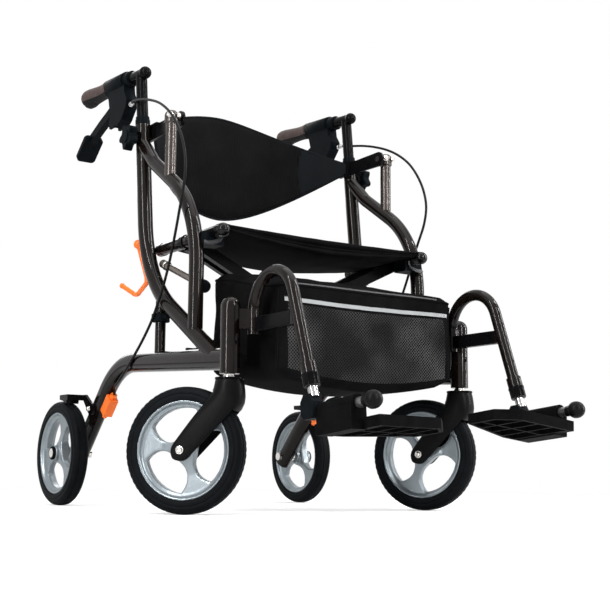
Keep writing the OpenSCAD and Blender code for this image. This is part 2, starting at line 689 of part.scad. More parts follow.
// closed sheet between a front grid and a back grid of the same size
module slab(a, b, nu, nv) {
  n = nu * nv;
  pts = concat(a, b);
  function id(u, v) = u * nv + v;
  top = [for (u = [0 : nu - 2], v = [0 : nv - 2]) [id(u, v), id(u, v + 1), id(u + 1, v + 1)]];
  top2 = [for (u = [0 : nu - 2], v = [0 : nv - 2]) [id(u, v), id(u + 1, v + 1), id(u + 1, v)]];
  bot = [for (f = concat(top, top2)) [n + f[2], n + f[1], n + f[0]]];
  e1 = [for (u = [0 : nu - 2]) each [[id(u, 0), id(u + 1, 0), n + id(u + 1, 0)], [id(u, 0), n + id(u + 1, 0), n + id(u, 0)]]];
  e2 = [for (u = [0 : nu - 2]) each [[id(u + 1, nv - 1), id(u, nv - 1), n + id(u, nv - 1)], [id(u + 1, nv - 1), n + id(u, nv - 1), n + id(u + 1, nv - 1)]]];
  e3 = [for (v = [0 : nv - 2]) each [[id(0, v + 1), id(0, v), n + id(0, v)], [id(0, v + 1), n + id(0, v), n + id(0, v + 1)]]];
  e4 = [for (v = [0 : nv - 2]) each [[id(nu - 1, v), id(nu - 1, v + 1), n + id(nu - 1, v + 1)], [id(nu - 1, v), n + id(nu - 1, v + 1), n + id(nu - 1, v)]]];
  polyhedron(points = pts, faces = concat(top, top2, bot, e1, e2, e3, e4), convexity = 6);
}

// padded sling seat hung between the two seat rails
seat_half = seat_rail_x - seat_rail_d / 2 - 2 - gap;
function seat_top(u, v) = seat_rail_z + 11 - 9 * (1 - u * u) + 3 * (1 - v * v) * (1 - u * u);
function seat_low(u, v) = seat_rail_z + 2 - 36 * (1 - pow(abs(u), 1.6)) - 3 * (1 - v * v) * (1 - u * u);
module seat_sling() {
  us = [for (i = [0 : 20]) -1 + i / 10];
  vs = [-1, -0.96, -0.5, 0, 0.5, 0.96, 1];
  color(fabric) placed() slab(
    [for (u = us, v = vs) [u * seat_half, 36 + 108 * v, seat_top(u, v) - (abs(v) == 1 ? 3 : 0)]],
    [for (u = us, v = vs) [u * seat_half, 36 + 108 * v, seat_low(u, v) + (abs(v) == 1 ? 3 : 0)]], 21, 7);
}

// padded backrest sling that bows back between its two brackets
back_half = 223.9;
function back_y(x) = 180 + back_bow * (1 - pow(abs(x) / 228, 2.6));
function back_hi(x) = 722 + (back_tall - 129) * (1 - pow(abs(x) / 218, 1.9));
function back_lo(x) = 690 - (back_tall - 121) * (1 - pow(abs(x) / 218, 1.7));
module back_sling() {
  us = [for (i = [0 : 24]) -1 + i / 12];
  vs = [0, 0.04, 0.25, 0.5, 0.75, 0.96, 1];
  color(fabric) placed() slab(
    [for (u = us, v = vs) let (x = u * back_half) [x, back_y(x) - (v == 0 || v == 1 ? 3 : 6 + 4 * sin(180 * v) * (1 - u * u)), back_lo(x) + v * (back_hi(x) - back_lo(x))]],
    [for (u = us, v = vs) let (x = u * back_half) [x, back_y(x) + (v == 0 || v == 1 ? 3 : 5), back_lo(x) + v * (back_hi(x) - back_lo(x))]], 25, 7);
}

// storage bag under the front of the seat with four side loops on the lower rails
module storage_bag() {
  color(fabric) placed() {
    translate([0, 0, 206]) linear_extrude(height = 176) {
      polygon([[-187, -185], [-177, -195], [177, -195], [187, -185], [211, -28], [201, -18], [-201, -18], [-211, -28]]);
    }
    for (sx = [-1, 1], y = [-112, -62]) translate([sx * (frame_x - rail_wide / 2 + 195) / 2, y, 254])
      cube([frame_x - rail_wide / 2 - 195, 18, 6], center = true);
  }
}

// orange strap hook behind the right upright, ending in a ball
module strap_hook() {
  color(orange) placed() translate([-frame_x, 0, 489]) rotate([0, -17.5, 0]) {
    bent([[200, 0], [200, -72], [258, -92], [307, -66]], [0, 16, 24, 0], 9, 9);
    translate([0, 200, 0]) sphere(d = 18);
    translate([0, 307, -66]) sphere(d = 11);
  }
  color(orange) placed() translate([-frame_x, 0, 0]) difference() {
    long_pin(0, 172, 484, 8, 28);
    translate([frame_x, 0, 0]) elbow_solid();
  }
}

main_tube(-1);  // right_main_tube
main_tube(1);  // left_main_tube
loop_tube(-1);  // right_loop_tube
loop_tube(1);  // left_loop_tube
lower_rail(-1);  // right_lower_rail
lower_rail(1);  // left_lower_rail
back_post(-1);  // right_back_post
back_post(1);  // left_back_post
pole_collar(-1);  // right_pole_collar
pole_collar(1);  // left_pole_collar
handle_pole(-1);  // right_handle_pole
handle_pole(1);  // left_handle_pole
grip(-1);  // right_grip
grip(1);  // left_grip
brake_housing(-1);  // right_brake_housing
brake_housing(1);  // left_brake_housing
brake_lever(-1);  // right_brake_lever
brake_lever(1);  // left_brake_lever
height_knob(-1);  // right_height_knob
height_knob(1);  // left_height_knob
back_bracket(-1);  // right_back_bracket
back_bracket(1);  // left_back_bracket
seat_rail(-1);  // right_seat_rail
seat_rail(1);  // left_seat_rail
seat_saddle(-1);  // right_seat_saddle
seat_saddle(1);  // left_seat_saddle
cross_arm_a();
cross_arm_b();
caster_fork(-1);  // right_caster_fork
caster_fork(1);  // left_caster_fork
caster_rim(-1);  // right_caster_rim
caster_rim(1);  // left_caster_rim
caster_tyre(-1);  // right_caster_tyre
caster_tyre(1);  // left_caster_tyre
rear_axle(-1);  // right_rear_axle
rear_axle(1);  // left_rear_axle
rear_rim(-1);  // right_rear_rim
rear_rim(1);  // left_rear_rim
rear_tyre(-1);  // right_rear_tyre
rear_tyre(1);  // left_rear_tyre
brake_arm(-1);  // right_brake_arm
brake_arm(1);  // left_brake_arm
adjuster(-1);  // right_adjuster
adjuster(1);  // left_adjuster
hanger(-1);  // right_hanger
hanger(1);  // left_hanger
foot_tube(-1);  // right_foot_tube
foot_tube(1);  // left_foot_tube
footplate(-1);  // right_footplate
footplate(1);  // left_footplate
brake_cable(-1);  // right_brake_cable
brake_cable(1);  // left_brake_cable
seat_sling();
back_sling();
storage_bag();
strap_hook();
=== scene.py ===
import math

import bpy
from mathutils import Matrix, Vector, noise


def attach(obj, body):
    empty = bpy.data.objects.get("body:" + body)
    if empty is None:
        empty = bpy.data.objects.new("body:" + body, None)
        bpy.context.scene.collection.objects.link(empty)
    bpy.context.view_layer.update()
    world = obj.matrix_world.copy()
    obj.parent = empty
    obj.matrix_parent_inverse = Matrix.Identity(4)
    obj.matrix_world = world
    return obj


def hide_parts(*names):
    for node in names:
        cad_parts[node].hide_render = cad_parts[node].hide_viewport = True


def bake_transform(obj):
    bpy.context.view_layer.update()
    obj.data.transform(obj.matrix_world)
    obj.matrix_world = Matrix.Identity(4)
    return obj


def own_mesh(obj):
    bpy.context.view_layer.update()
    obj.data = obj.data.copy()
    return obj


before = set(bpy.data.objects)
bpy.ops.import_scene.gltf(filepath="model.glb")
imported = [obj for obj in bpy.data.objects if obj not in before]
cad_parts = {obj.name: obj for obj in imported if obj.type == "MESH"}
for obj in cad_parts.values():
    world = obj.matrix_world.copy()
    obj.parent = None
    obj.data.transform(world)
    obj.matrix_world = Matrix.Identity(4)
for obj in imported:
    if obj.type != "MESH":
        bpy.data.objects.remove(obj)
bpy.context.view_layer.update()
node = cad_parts

# CAMERA
# A long lens close to the floor, in front of the chair's right side and looking slightly up.
# Places are given in millimetres from the chair's middle plane and turned into frame metres.


def chair(x, y, z):
    """A place in millimetres from the middle of the chair, as a point of the frame."""
    middle_x, middle_y = 26.1, -29.6
    return Vector(((x + middle_x) / 1000, (y + middle_y) / 1000, z / 1000))


camera_place = chair(-1162.6, -1696.3, 70.9)
camera_roll = math.radians(0.41)
look = Vector((0.5588, 0.8165, 0.1450)).normalized()
across = look.cross(Vector((0, 0, 1))).normalized()
upward = across.cross(look)
across, upward = (across * math.cos(camera_roll) + upward * math.sin(camera_roll),
                  upward * math.cos(camera_roll) - across * math.sin(camera_roll))
view = Matrix((across, upward, -look)).transposed().to_4x4()
camera = bpy.data.objects.new("camera", bpy.data.cameras.new("camera"))
camera.matrix_world = Matrix.Translation(camera_place) @ view
camera.data.sensor_width = 36
camera.data.lens = 66.65
bpy.context.scene.collection.objects.link(camera)
bpy.context.scene.camera = camera

# BRAKE CABLES
# A wire in a smooth black sleeve on each side, from the lever housing, forward in a wide free
# arc, back past the clip on the short strut, and into the orange adjuster under the rear strut.
cable_d = 5.0
cable_route = [
    (-250.2, 238, 772), (-254, 226, 771.5), (-260, 207, 768), (-263, 170, 760), (-265, 130, 748),
    (-267, 90, 732), (-269, 55, 712), (-270, 25, 688), (-270, 0, 658), (-270, -18, 625),
    (-270, -26, 590), (-269, -20, 555), (-267, -4, 520), (-265, 12, 485), (-264, 28, 448),
    (-263, 45, 415), (-262.5, 66, 380), (-262.2, 97, 339), (-262.2, 118, 317), (-262.2, 146, 293),
    (-262.2, 190, 260), (-262.2, 222, 238), (-260, 243, 228.5), (-256, 260, 225), (-250, 273, 221.5),
    (-246, 282, 215.6), (-245, 286.1, 211.8)]


def smooth_run(points, steps):
    """A curve through points, with so many steps between each two."""
    run = []
    last = len(points) - 1
    for i in range(last):
        p, q = Vector(points[max(i - 1, 0)]), Vector(points[i])
        r, w = Vector(points[i + 1]), Vector(points[min(i + 2, last)])
        for k in range(steps):
            t = k / steps
            run.append(0.5 * (2 * q + t * (r - p) + t * t * (2 * p - 5 * q + 4 * r - w)
                              + t * t * t * (3 * q - p - 3 * r + w)))
    run.append(Vector(points[last]))
    return run


def mesh_piece(name, points, faces, smooth=40):
    """A new object from points in frame metres, with edges sharper than smooth degrees kept crisp."""
    mesh = bpy.data.meshes.new(name)
    mesh.from_pydata([tuple(p) for p in points], [], faces)
    mesh.update()
    if smooth:
        for face in mesh.polygons:
            face.use_smooth = True
        mesh.set_sharp_from_angle(angle=math.radians(smooth))
    piece = bpy.data.objects.new(name, mesh)
    bpy.context.scene.collection.objects.link(piece)
    return piece


def ring_faces(rings, count):
    """Faces that join so many rings of count points, one after the other."""
    faces = []
    for i in range(rings - 1):
        for k in range(count):
            n = (k + 1) % count
            faces.append((i * count + k, i * count + n, (i + 1) * count + n, (i + 1) * count + k))
    return faces


def end_faces(rings, count):
    """Faces that close the first and the last of so many rings."""
    return [tuple(range(count - 1, -1, -1)), tuple((rings - 1) * count + k for k in range(count))]


def sleeve_mesh(name, run, outline):
    """A tube along run whose section is a list of offsets in metres across it."""
    points = []
    rings, count = len(run), len(outline)
    lean = None
    for i, p in enumerate(run):
        ahead = (run[min(i + 1, rings - 1)] - run[max(i - 1, 0)]).normalized()
        if lean is None:
            lean = ahead.orthogonal().normalized()
        lean = (lean - ahead * lean.dot(ahead)).normalized()
        other = ahead.cross(lean)
        points += [p + lean * a + other * b for a, b in outline]
    return mesh_piece(name, points, ring_faces(rings, count) + end_faces(rings, count))


def ring_outline(radius, sides):
    """A round section for sleeve_mesh."""
    return [(radius * math.cos(2 * math.pi * k / sides), radius * math.sin(2 * math.pi * k / sides))
            for k in range(sides)]


def finish(name, colour, rough, metal=0.0, specular=0.5, sheen=0.0, spread=0.18, patch=30.0,
           grain=700.0, depth=0.00005, strength=0.3):
    """Surface with cloudy colour, uneven gloss and a fine grain; patch and grain are per metre."""
    material = bpy.data.materials.new(name)
    material.use_nodes = True
    tree = material.node_tree
    shade = tree.nodes["Principled BSDF"]
    shade.inputs["Metallic"].default_value = metal
    shade.inputs["Specular IOR Level"].default_value = specular
    shade.inputs["Sheen Weight"].default_value = sheen
    place = tree.nodes.new("ShaderNodeTexCoord")
    cloud = tree.nodes.new("ShaderNodeTexNoise")
    cloud.inputs["Scale"].default_value = patch
    cloud.inputs["Detail"].default_value = 5
    tree.links.new(place.outputs["Object"], cloud.inputs["Vector"])
    tint = tree.nodes.new("ShaderNodeValToRGB")
    tint.color_ramp.elements[0].position = 0.3
    tint.color_ramp.elements[1].position = 0.7
    tint.color_ramp.elements[0].color = [c * (1 - spread) for c in colour] + [1]
    tint.color_ramp.elements[1].color = [min(1, c * (1 + spread)) for c in colour] + [1]
    tree.links.new(cloud.outputs["Fac"], tint.inputs["Fac"])
    tree.links.new(tint.outputs["Color"], shade.inputs["Base Color"])
    gloss = tree.nodes.new("ShaderNodeMapRange")
    gloss.inputs["To Min"].default_value = max(0.02, rough * 0.82)
    gloss.inputs["To Max"].default_value = min(1, rough * 1.18)
    tree.links.new(cloud.outputs["Fac"], gloss.inputs["Value"])
    tree.links.new(gloss.outputs["Result"], shade.inputs["Roughness"])
    pores = tree.nodes.new("ShaderNodeTexNoise")
    pores.inputs["Scale"].default_value = grain
    pores.inputs["Detail"].default_value = 3
    tree.links.new(place.outputs["Object"], pores.inputs["Vector"])
    bump = tree.nodes.new("ShaderNodeBump")
    bump.inputs["Strength"].default_value = strength
    bump.inputs["Distance"].default_value = depth
    tree.links.new(pores.outputs["Fac"], bump.inputs["Height"])
    tree.links.new(bump.outputs["Normal"], shade.inputs["Normal"])
    return material


def dress(piece, *materials):
    """Gives a piece its materials."""
    piece.data.materials.clear()
    for material in materials:
        piece.data.materials.append(material)
    return piece


def fit(piece, material, body):
    """Dresses a hard piece and fixes it to the body that it moves with."""
    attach(dress(piece, material), body)


cable_sleeve = finish("cable_sleeve", (0.005, 0.005, 0.0055), 0.3, specular=0.1, grain=900)
cable_steel = finish("cable_steel", (0.62, 0.62, 0.63), 0.24, metal=1.0, spread=0.08, grain=1500)
for side, turn in (("right", 1), ("left", -1)):
    run = [chair(turn * p.x, p.y, p.z) for p in smooth_run(cable_route, 6)]
    cable = dress(sleeve_mesh(side + "_cable", run, ring_outline(cable_d / 2000, 10)), cable_sleeve)
    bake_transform(cable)
    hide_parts(side + "_brake_cable")


def turned(name, profile, foot, along, segments=32):
    """A lathed piece: profile is (radius, height) in millimetres from foot along a direction."""
    along = Vector(along).normalized()
    lean = along.orthogonal().normalized()
    other = along.cross(lean)
    points, faces, rows = [], [], []
    for radius, height in profile:
        if radius < 1e-6:
            rows.append([len(points)])
            points.append(foot + along * height / 1000)
            continue
        rows.append(list(range(len(points), len(points) + segments)))
        for k in range(segments):
            a = 2 * math.pi * k / segments
            points.append(foot + (lean * math.cos(a) + other * math.sin(a)) * radius / 1000
                          + along * height / 1000)
    for low, high in zip(rows, rows[1:]):
        for k in range(segments):
            n = (k + 1) % segments
            if len(low) == 1 and len(high) > 1:
                faces.append((low[0], high[n], high[k]))
            elif len(high) == 1 and len(low) > 1:
                faces.append((low[k], low[n], high[0]))
            elif len(low) > 1:
                faces.append((low[k], low[n], high[n], high[k]))
    return mesh_piece(name, points, faces)


# the bright barrel that the sleeve screws into at the lever housing
barrel_shape = [(0, -1), (3.2, -1), (4.6, 0), (4.6, 3), (4.1, 3.6), (4.1, 5), (4.6, 5.6), (4.6, 9),
                (3.4, 11), (2.7, 15), (0, 15)]
for side, turn in (("right", 1), ("left", -1)):
    barrel = turned(side + "_cable_barrel", barrel_shape, chair(turn * -249.2, 243, 772),
                    (turn * -0.208, -0.978, 0), 20)
    fit(barrel, cable_steel, side + "_handle")

# SIDE FRAMES
# Each side is a pair of welded aluminium tubes on a flat oval lower rail: an upright that bends
# into a long slope, and a front post that curls back into it. All is in gloss dark bronze paint.
bronze = finish("bronze_paint", (0.0058, 0.004, 0.0034), 0.12, metal=0.1, specular=0.2,
                spread=0.25, patch=60, grain=2500, depth=0.000002, strength=0.1)
for side in ("right_", "left_"):
    for name in ("main_tube", "loop_tube", "lower_rail", "hanger"):
        dress(node[side + name], bronze)

# BACKREST POSTS
# A short post stands on each curl and ends in a round knuckle. Two bright cap bolts in the
# knuckle hold the pin that the backrest arm flips on.
post_metal = finish("post_metal", (0.066, 0.058, 0.054), 0.26, metal=0.85, spread=0.1, patch=50,
                    grain=2000, depth=0.000002)
bolt_steel = finish("bolt_steel", (0.78, 0.75, 0.72), 0.16, metal=1.0, spread=0.06, grain=1800)
for side in ("right_", "left_"):
    dress(node[side + "back_post"], post_metal)


def cap_bolt(name, foot, along, radius, body):
    """A domed bolt head with a socket, on a washer."""
    r = radius
    washer = [(0, -0.8), (r * 1.25, -0.8), (r * 1.3, 0), (r * 1.25, 0.35)]
    dome = [(r, 0.4), (r, r * 0.45), (r * 0.93, r * 0.68), (r * 0.75, r * 0.84), (r * 0.5, r * 0.9)]
    socket = [(r * 0.46, r * 0.4), (0, r * 0.35)]
    fit(turned(name, washer + dome + socket, foot, along, 24), bolt_steel, body)


knuckle_r = 14.3
for side, turn in (("right", 1), ("left", -1)):
    for k, swing in enumerate((-40, 35)):
        out = Vector((turn * math.sin(math.radians(swing)), -math.cos(math.radians(swing)), 0))
        foot = chair(turn * -247, 74, 705) + out * knuckle_r / 1000
        cap_bolt(f"{side}_post_bolt_{k}", foot, out, 4.6, side + "_frame")

# HANDLES
# A black pole telescopes out of each upright under a plastic collar and a star knob. The hand bar
# on it carries the brake housing, the long lever with its paddle, and a soft two-tone grip.
pole_black = finish("pole_black", (0.003, 0.003, 0.0035), 0.2, specular=0.045, grain=2200)
moulded_black = finish("moulded_black", (0.0042, 0.0055, 0.0068), 0.45, specular=0.018, spread=0.25,
                       patch=80, grain=1500, depth=0.00012, strength=0.45)
grip_rubber = finish("grip_rubber", (0.072, 0.052, 0.049), 0.62, specular=0.1, patch=90, grain=1300,
                     depth=0.0002, strength=0.5)
tree = grip_rubber.node_tree
shade = tree.nodes["Principled BSDF"]
place = tree.nodes["Texture Coordinate"]
spot = tree.nodes.new("ShaderNodeSeparateXYZ")
tree.links.new(place.outputs["Object"], spot.inputs["Vector"])
# the underside is black: height above the rising centre line of the hand bar decides
bar_rise, bar_z, bar_y = 0.0717, 0.823, 0.1624
fall = tree.nodes.new("ShaderNodeMath")
fall.operation = "MULTIPLY_ADD"
fall.inputs[1].default_value = -bar_rise
fall.inputs[2].default_value = -bar_z + bar_rise * bar_y
tree.links.new(spot.outputs["Y"], fall.inputs[0])
height = tree.nodes.new("ShaderNodeMath")
tree.links.new(spot.outputs["Z"], height.inputs[0])
tree.links.new(fall.outputs[0], height.inputs[1])
under = tree.nodes.new("ShaderNodeMapRange")
under.inputs["From Min"].default_value = -0.0095
under.inputs["From Max"].default_value = -0.0088
tree.links.new(height.outputs[0], under.inputs["Value"])
parting = tree.nodes.new("ShaderNodeMix")
parting.data_type = "RGBA"
parting.inputs["A"].default_value = (0.008, 0.008, 0.009, 1)
tree.links.new(under.outputs["Result"], parting.inputs["Factor"])
tree.links.new(tree.nodes["Color Ramp"].outputs["Color"], parting.inputs["B"])
tree.links.new(parting.outputs["Result"], shade.inputs["Base Color"])


def soften(piece, width):
    """Rounds the edges of a moulded or cast piece by so many millimetres."""
    join = piece.modifiers.new("join", "WELD")
    join.merge_threshold = 0.00001
    edge = piece.modifiers.new("edge", "BEVEL")
    edge.width = width / 1000
    edge.segments = 2
    edge.limit_method = "ANGLE"
    edge.angle_limit = math.radians(35)
    return piece


for side in ("right_", "left_"):
    dress(node[side + "handle_pole"], pole_black)
    dress(node[side + "grip"], grip_rubber)
    dress(node[side + "pole_collar"], moulded_black)
    for name in ("brake_housing", "brake_lever", "height_knob"):
        soften(dress(node[side + name], moulded_black), 1.2)

# CROSS BRACE
# Two pairs of black flat bars cross on one bolt under the seat. Each runs from a pivot on a lower
# rail to the seat rail of the other side, so that the frame folds like scissors.
brace_black = finish("brace_black", (0.0035, 0.0035, 0.004), 0.2, specular=0.08, grain=1600)
# the seat rails are bronze, with a black cap on the front end
rail_paint = bronze.copy()
rail_paint.name = "rail_paint"
cap_y = -40
tree = rail_paint.node_tree
along = tree.nodes.new("ShaderNodeSeparateXYZ")
tree.links.new(tree.nodes["Texture Coordinate"].outputs["Object"], along.inputs["Vector"])
capped = tree.nodes.new("ShaderNodeMath")
capped.operation = "LESS_THAN"
capped.inputs[1].default_value = chair(0, cap_y, 0).y
tree.links.new(along.outputs["Y"], capped.inputs[0])
cap_tone = tree.nodes.new("ShaderNodeMix")
cap_tone.data_type = "RGBA"
cap_tone.inputs["B"].default_value = (0.0035, 0.0035, 0.004, 1)
tree.links.new(capped.outputs[0], cap_tone.inputs["Factor"])
tree.links.new(tree.nodes["Color Ramp"].outputs["Color"], cap_tone.inputs["A"])
tree.links.new(cap_tone.outputs["Result"], tree.nodes["Principled BSDF"].inputs["Base Color"])
for name in ("cross_arm_a", "cross_arm_b", "right_back_bracket", "left_back_bracket"):
    dress(node[name], brace_black)
for side in ("right_", "left_"):
    dress(node[side + "seat_rail"], rail_paint)
    soften(dress(node[side + "seat_saddle"], moulded_black), 1.5)
cap_bolt("brace_bolt_front", chair(0, 0.8, 366.9), (0, -1, 0), 6.0, "arm_a")
cap_bolt("brace_bolt_back", chair(0, 99.2, 366.9), (0, 1, 0), 6.0, "arm_a")
for side, turn in (("right", 1), ("left", -1)):
    cap_bolt(side + "_brace_pivot", chair(turn * -206, -3.2, 266), (0, -1, 0), 6.0, side + "_frame")

# CLIPS AND GUIDE LINKS
# A black plastic clip on each short strut guides the cable. Above it a taupe tube with a bright
# nut ties the upright to the front post, and a grey steel hook sits under the seat saddle.
link_metal = finish("link_metal", (0.15, 0.128, 0.112), 0.26, metal=0.7, grain=1800, depth=0.00001)
hook_grey = finish("hook_grey", (0.1, 0.1, 0.104), 0.35, metal=0.5, grain=1800)
strut_x, strut_y = 245, 101
clip_shape = [(14.6, -1.5), (15.8, -1.5), (16.4, -0.8), (16.4, 11.8), (15.8, 12.5), (14.6, 12.5),
              (14.6, -1.5)]
ear_shape = [(0, 0), (3.4, 0), (3.4, 7), (4.6, 7.6), (4.6, 10), (3.8, 11), (0, 11)]
link_shape = [(0, 0), (8, 0), (8, 12), (5.9, 13), (5.9, 166), (0, 167)]
nut_shape = [(6.1, 13), (8.6, 13), (9, 13.6), (9, 18.4), (8.6, 19), (6.1, 19), (6.1, 13)]
knob_shape = [(6.2, 158), (9.5, 158), (11, 160), (11.4, 166), (10.6, 171), (8, 174), (0, 175)]
hook_path = [(241, 455), (234, 454), (226, 455), (218, 457.5), (212, 461), (209, 466), (208.5, 471)]
hook_section = [(0.004, 0.0015), (-0.004, 0.0015), (-0.004, -0.0015), (0.004, -0.0015)]
for side, turn in (("right", -1), ("left", 1)):
    body = side + "_frame"
    clip = turned(side + "_strut_clip", clip_shape, chair(turn * strut_x, strut_y, 333), (0, 0, 1))
    fit(clip, moulded_black, body)
    for end, way in (("front", -1), ("back", 1)):
        ear = turned(f"{side}_clip_ear_{end}", ear_shape,
                     chair(turn * strut_x, strut_y + way * 15.8, 338.5), (0, way, 0), 16)
        fit(ear, moulded_black, body)
    back_end = chair(turn * 229, 128, 443)
    link_way = chair(turn * 229, -32, 379) - back_end
    fit(turned(side + "_guide_link", link_shape, back_end, link_way, 24), link_metal, body)
    fit(turned(side + "_link_nut", nut_shape, back_end, link_way, 24), bolt_steel, body)
    knob = turned(side + "_link_end", knob_shape, back_end, link_way, 24)
    fit(knob, moulded_black, body)
    hook_run = [chair(turn * x, -45.5, z) for x, z in hook_path]
    fit(sleeve_mesh(side + "_seat_hook", hook_run, hook_section), hook_grey, body)

# SEAT
# A padded sling of black nylon sewn round both seat rails. It hangs in a shallow curve, and its
# front edge is folded into three soft rolls with sewn lines between them.
cloth_black = finish("cloth_black", (0.004, 0.004, 0.0044), 0.7, specular=0.008, sheen=0.004, spread=0.3,
                     patch=22, grain=1700, depth=0.0003, strength=0.5)
seat_rows = 61
seat_half, sewn_half = 217.0, 203
seat_middle, seat_reach = 36, 104
seat_front, seat_back = -68.5, 140
seat_top, seat_under = 485, 476
# the rolls of the front edge, from the top down: where each starts and ends, and its swell
seat_rolls = ((0.0, 0.46, 5.5), (0.46, 0.66, 2.6), (0.66, 1.0, 3.6))


def seat_section(u):
    """Loop of (y, z) round the padded cloth at u from -1 to 1 across the seat."""
    crown = 1 - u * u
    slim = max(0.0, (abs(u) * seat_half - sewn_half) / (seat_half - sewn_half))
    ztop = seat_top - 3 * crown + 1.4 * slim
    zlow = seat_under - 21 * (1 - abs(u) ** 1.6) + 9.2 * slim
    loop = []
    for k in range(15):
        v = -1 + 2 * k / 14
        quilt = 1.6 * abs(math.sin(2.5 * math.pi * (v + 1))) * crown
        loop.append((seat_middle - seat_reach * v, ztop + 3 * (1 - v * v) * crown + quilt))
    tall = ztop - zlow
    for k in range(1, 20):
        t = k / 20
        first, last, most = next(roll for roll in seat_rolls if t < roll[1])
        swell = most * math.sin(math.pi * (t - first) / (last - first)) ** 0.6
        loop.append((seat_front - swell * (0.35 + 0.65 * crown), ztop - tall * t))
    for k in range(11):
        v = -1 + 2 * k / 10
        loop.append((seat_middle + seat_reach * v, zlow - 3 * (1 - v * v) * crown))
    for k in range(1, 5):
        t = k / 5
        loop.append((seat_back + 4.5 * math.sin(math.pi * t) * (0.3 + 0.7 * crown), zlow + tall * t))
    return loop


points, faces = [], []
for i in range(seat_rows):
    u = -1 + 2 * i / (seat_rows - 1)
    loop = seat_section(u)
    for y, z in loop:
        x = u * seat_half
        soft = noise.noise(Vector((x / 34, y / 60, z / 26))) * 1.5 * (1 - u ** 4)
        points.append(chair(x, y + soft * (0.6 if y < -60 else 0.1), z + soft * 0.5))
count = len(loop)
for i in range(seat_rows - 1):
    for k in range(count):
        n = (k + 1) % count
        faces.append((i * count + k, (i + 1) * count + k, (i + 1) * count + n, i * count + n))
faces.append(tuple(range(count)))
faces.append(tuple((seat_rows - 1) * count + k for k in range(count - 1, -1, -1)))
seat = dress(mesh_piece("seat", points, faces), cloth_black)
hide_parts("seat_sling")
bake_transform(seat)

# BACKREST
# A long padded band that bows back behind the sitter. Its middle is covered in ribbed cloth, and
# an arched seam near each end joins it to a plain sleeve that is clamped in the flip arm.
ribbed_cloth = finish("ribbed_cloth", (0.0055, 0.0055, 0.0058), 0.75, specular=0.018, sheen=0.004,
                      spread=0.25, patch=18, grain=1500, depth=0.0003, strength=0.45)
tree = ribbed_cloth.node_tree
ribs = tree.nodes.new("ShaderNodeTexWave")
ribs.inputs["Scale"].default_value = 78
ribs.inputs["Distortion"].default_value = 0.6
tree.links.new(tree.nodes["Texture Coordinate"].outputs["Object"], ribs.inputs["Vector"])
rib_bump = tree.nodes.new("ShaderNodeBump")
rib_bump.inputs["Strength"].default_value = 0.5
rib_bump.inputs["Distance"].default_value = 0.0006
tree.links.new(ribs.outputs["Fac"], rib_bump.inputs["Height"])
tree.links.new(tree.nodes["Bump"].outputs["Normal"], rib_bump.inputs["Normal"])
tree.links.new(rib_bump.outputs["Normal"], tree.nodes["Principled BSDF"].inputs["Normal"])
sleeve_cloth = finish("sleeve_cloth", (0.0045, 0.0055, 0.0066), 0.62, specular=0.04, sheen=0.004, patch=30,
                      grain=2000, depth=0.0002)
back_half = 223.9
back_rows, back_lines = 121, 25


def back_y(x):
    """How far back the bowed band stands."""
    return 180 + 150 * (1 - (abs(x) / 228) ** 2.6)


def back_top(x):
    """Height of the upper edge."""
    return 722 + 89 * (1 - (abs(x) / 218) ** 1.9)


def back_low(x):
    """Height of the lower edge."""
    return 690 - 97 * (1 - (abs(x) / 218) ** 1.7)


def back_seam(v):
    """How far out the arched seam lies, with v from the lower edge to the upper."""
    return 158 + 9 * (2 * v - 1) ** 2


def back_swell(v):
    """How full the padding is, thinning out at both edges."""
    return min(1.0, (4 * v * (1 - v) * 6) ** 0.5)


points, plain = [], []
for i in range(back_rows):
    x = back_half * (-1 + 2 * i / (back_rows - 1))
    loop = []
    for k in range(back_lines):
        v = k / (back_lines - 1)
        z = back_low(x) + v * (back_top(x) - back_low(x))
        seam = back_seam(v)
        dent = 3.0 * math.exp(-((abs(x) - seam) / 3.0) ** 2)
        edge = back_swell(v)
        pad = (6.5 + 4.0 * math.sin(math.pi * v)) if abs(x) < seam else 5.0 + 1.2 * math.sin(math.pi * v)
        soft = 0.8 * noise.noise(Vector((x / 50, 3.1, z / 40)))
        loop.append((back_y(x) - (pad * edge + 0.6) + dent * edge + soft, z))
    for k in range(back_lines - 2, 0, -1):
        v = k / (back_lines - 1)
        z = back_low(x) + v * (back_top(x) - back_low(x))
        loop.append((back_y(x) + 4.6 * back_swell(v) + 0.6, z))
    points += [chair(x, y, z) for y, z in loop]
count = len(loop)
faces = ring_faces(back_rows, count) + end_faces(back_rows, count)
for i in range(back_rows - 1):
    x = back_half * (-1 + 2 * (i + 0.5) / (back_rows - 1))
    for k in range(count):
        v = min(k + 0.5, count - k - 0.5) / (back_lines - 1)
        plain.append(1 if abs(x) > back_seam(v) else 0)
plain += [1, 1]


def on_backrest(piece):
    """Fixes a piece of the backrest to the right arm and gives it a mesh of its own; the real backrest
    narrows when the chair folds.
    """
    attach(piece, "right_back")
    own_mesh(piece)


backrest = dress(mesh_piece("backrest", points, faces), ribbed_cloth, sleeve_cloth)
backrest.data.polygons.foreach_set("material_index", plain)
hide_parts("back_sling")
on_backrest(backrest)

# sewn binding along the top and bottom edges of the backrest
for name, edge_of in (("top", back_top), ("low", back_low)):
    line = [chair(x, back_y(x) - 0.6, edge_of(x)) for x in
            (back_half * (-1 + 2 * i / 80) for i in range(81))]
    binding = sleeve_mesh(f"backrest_{name}_binding", line, ring_outline(0.0026, 8))
    on_backrest(dress(binding, sleeve_cloth))

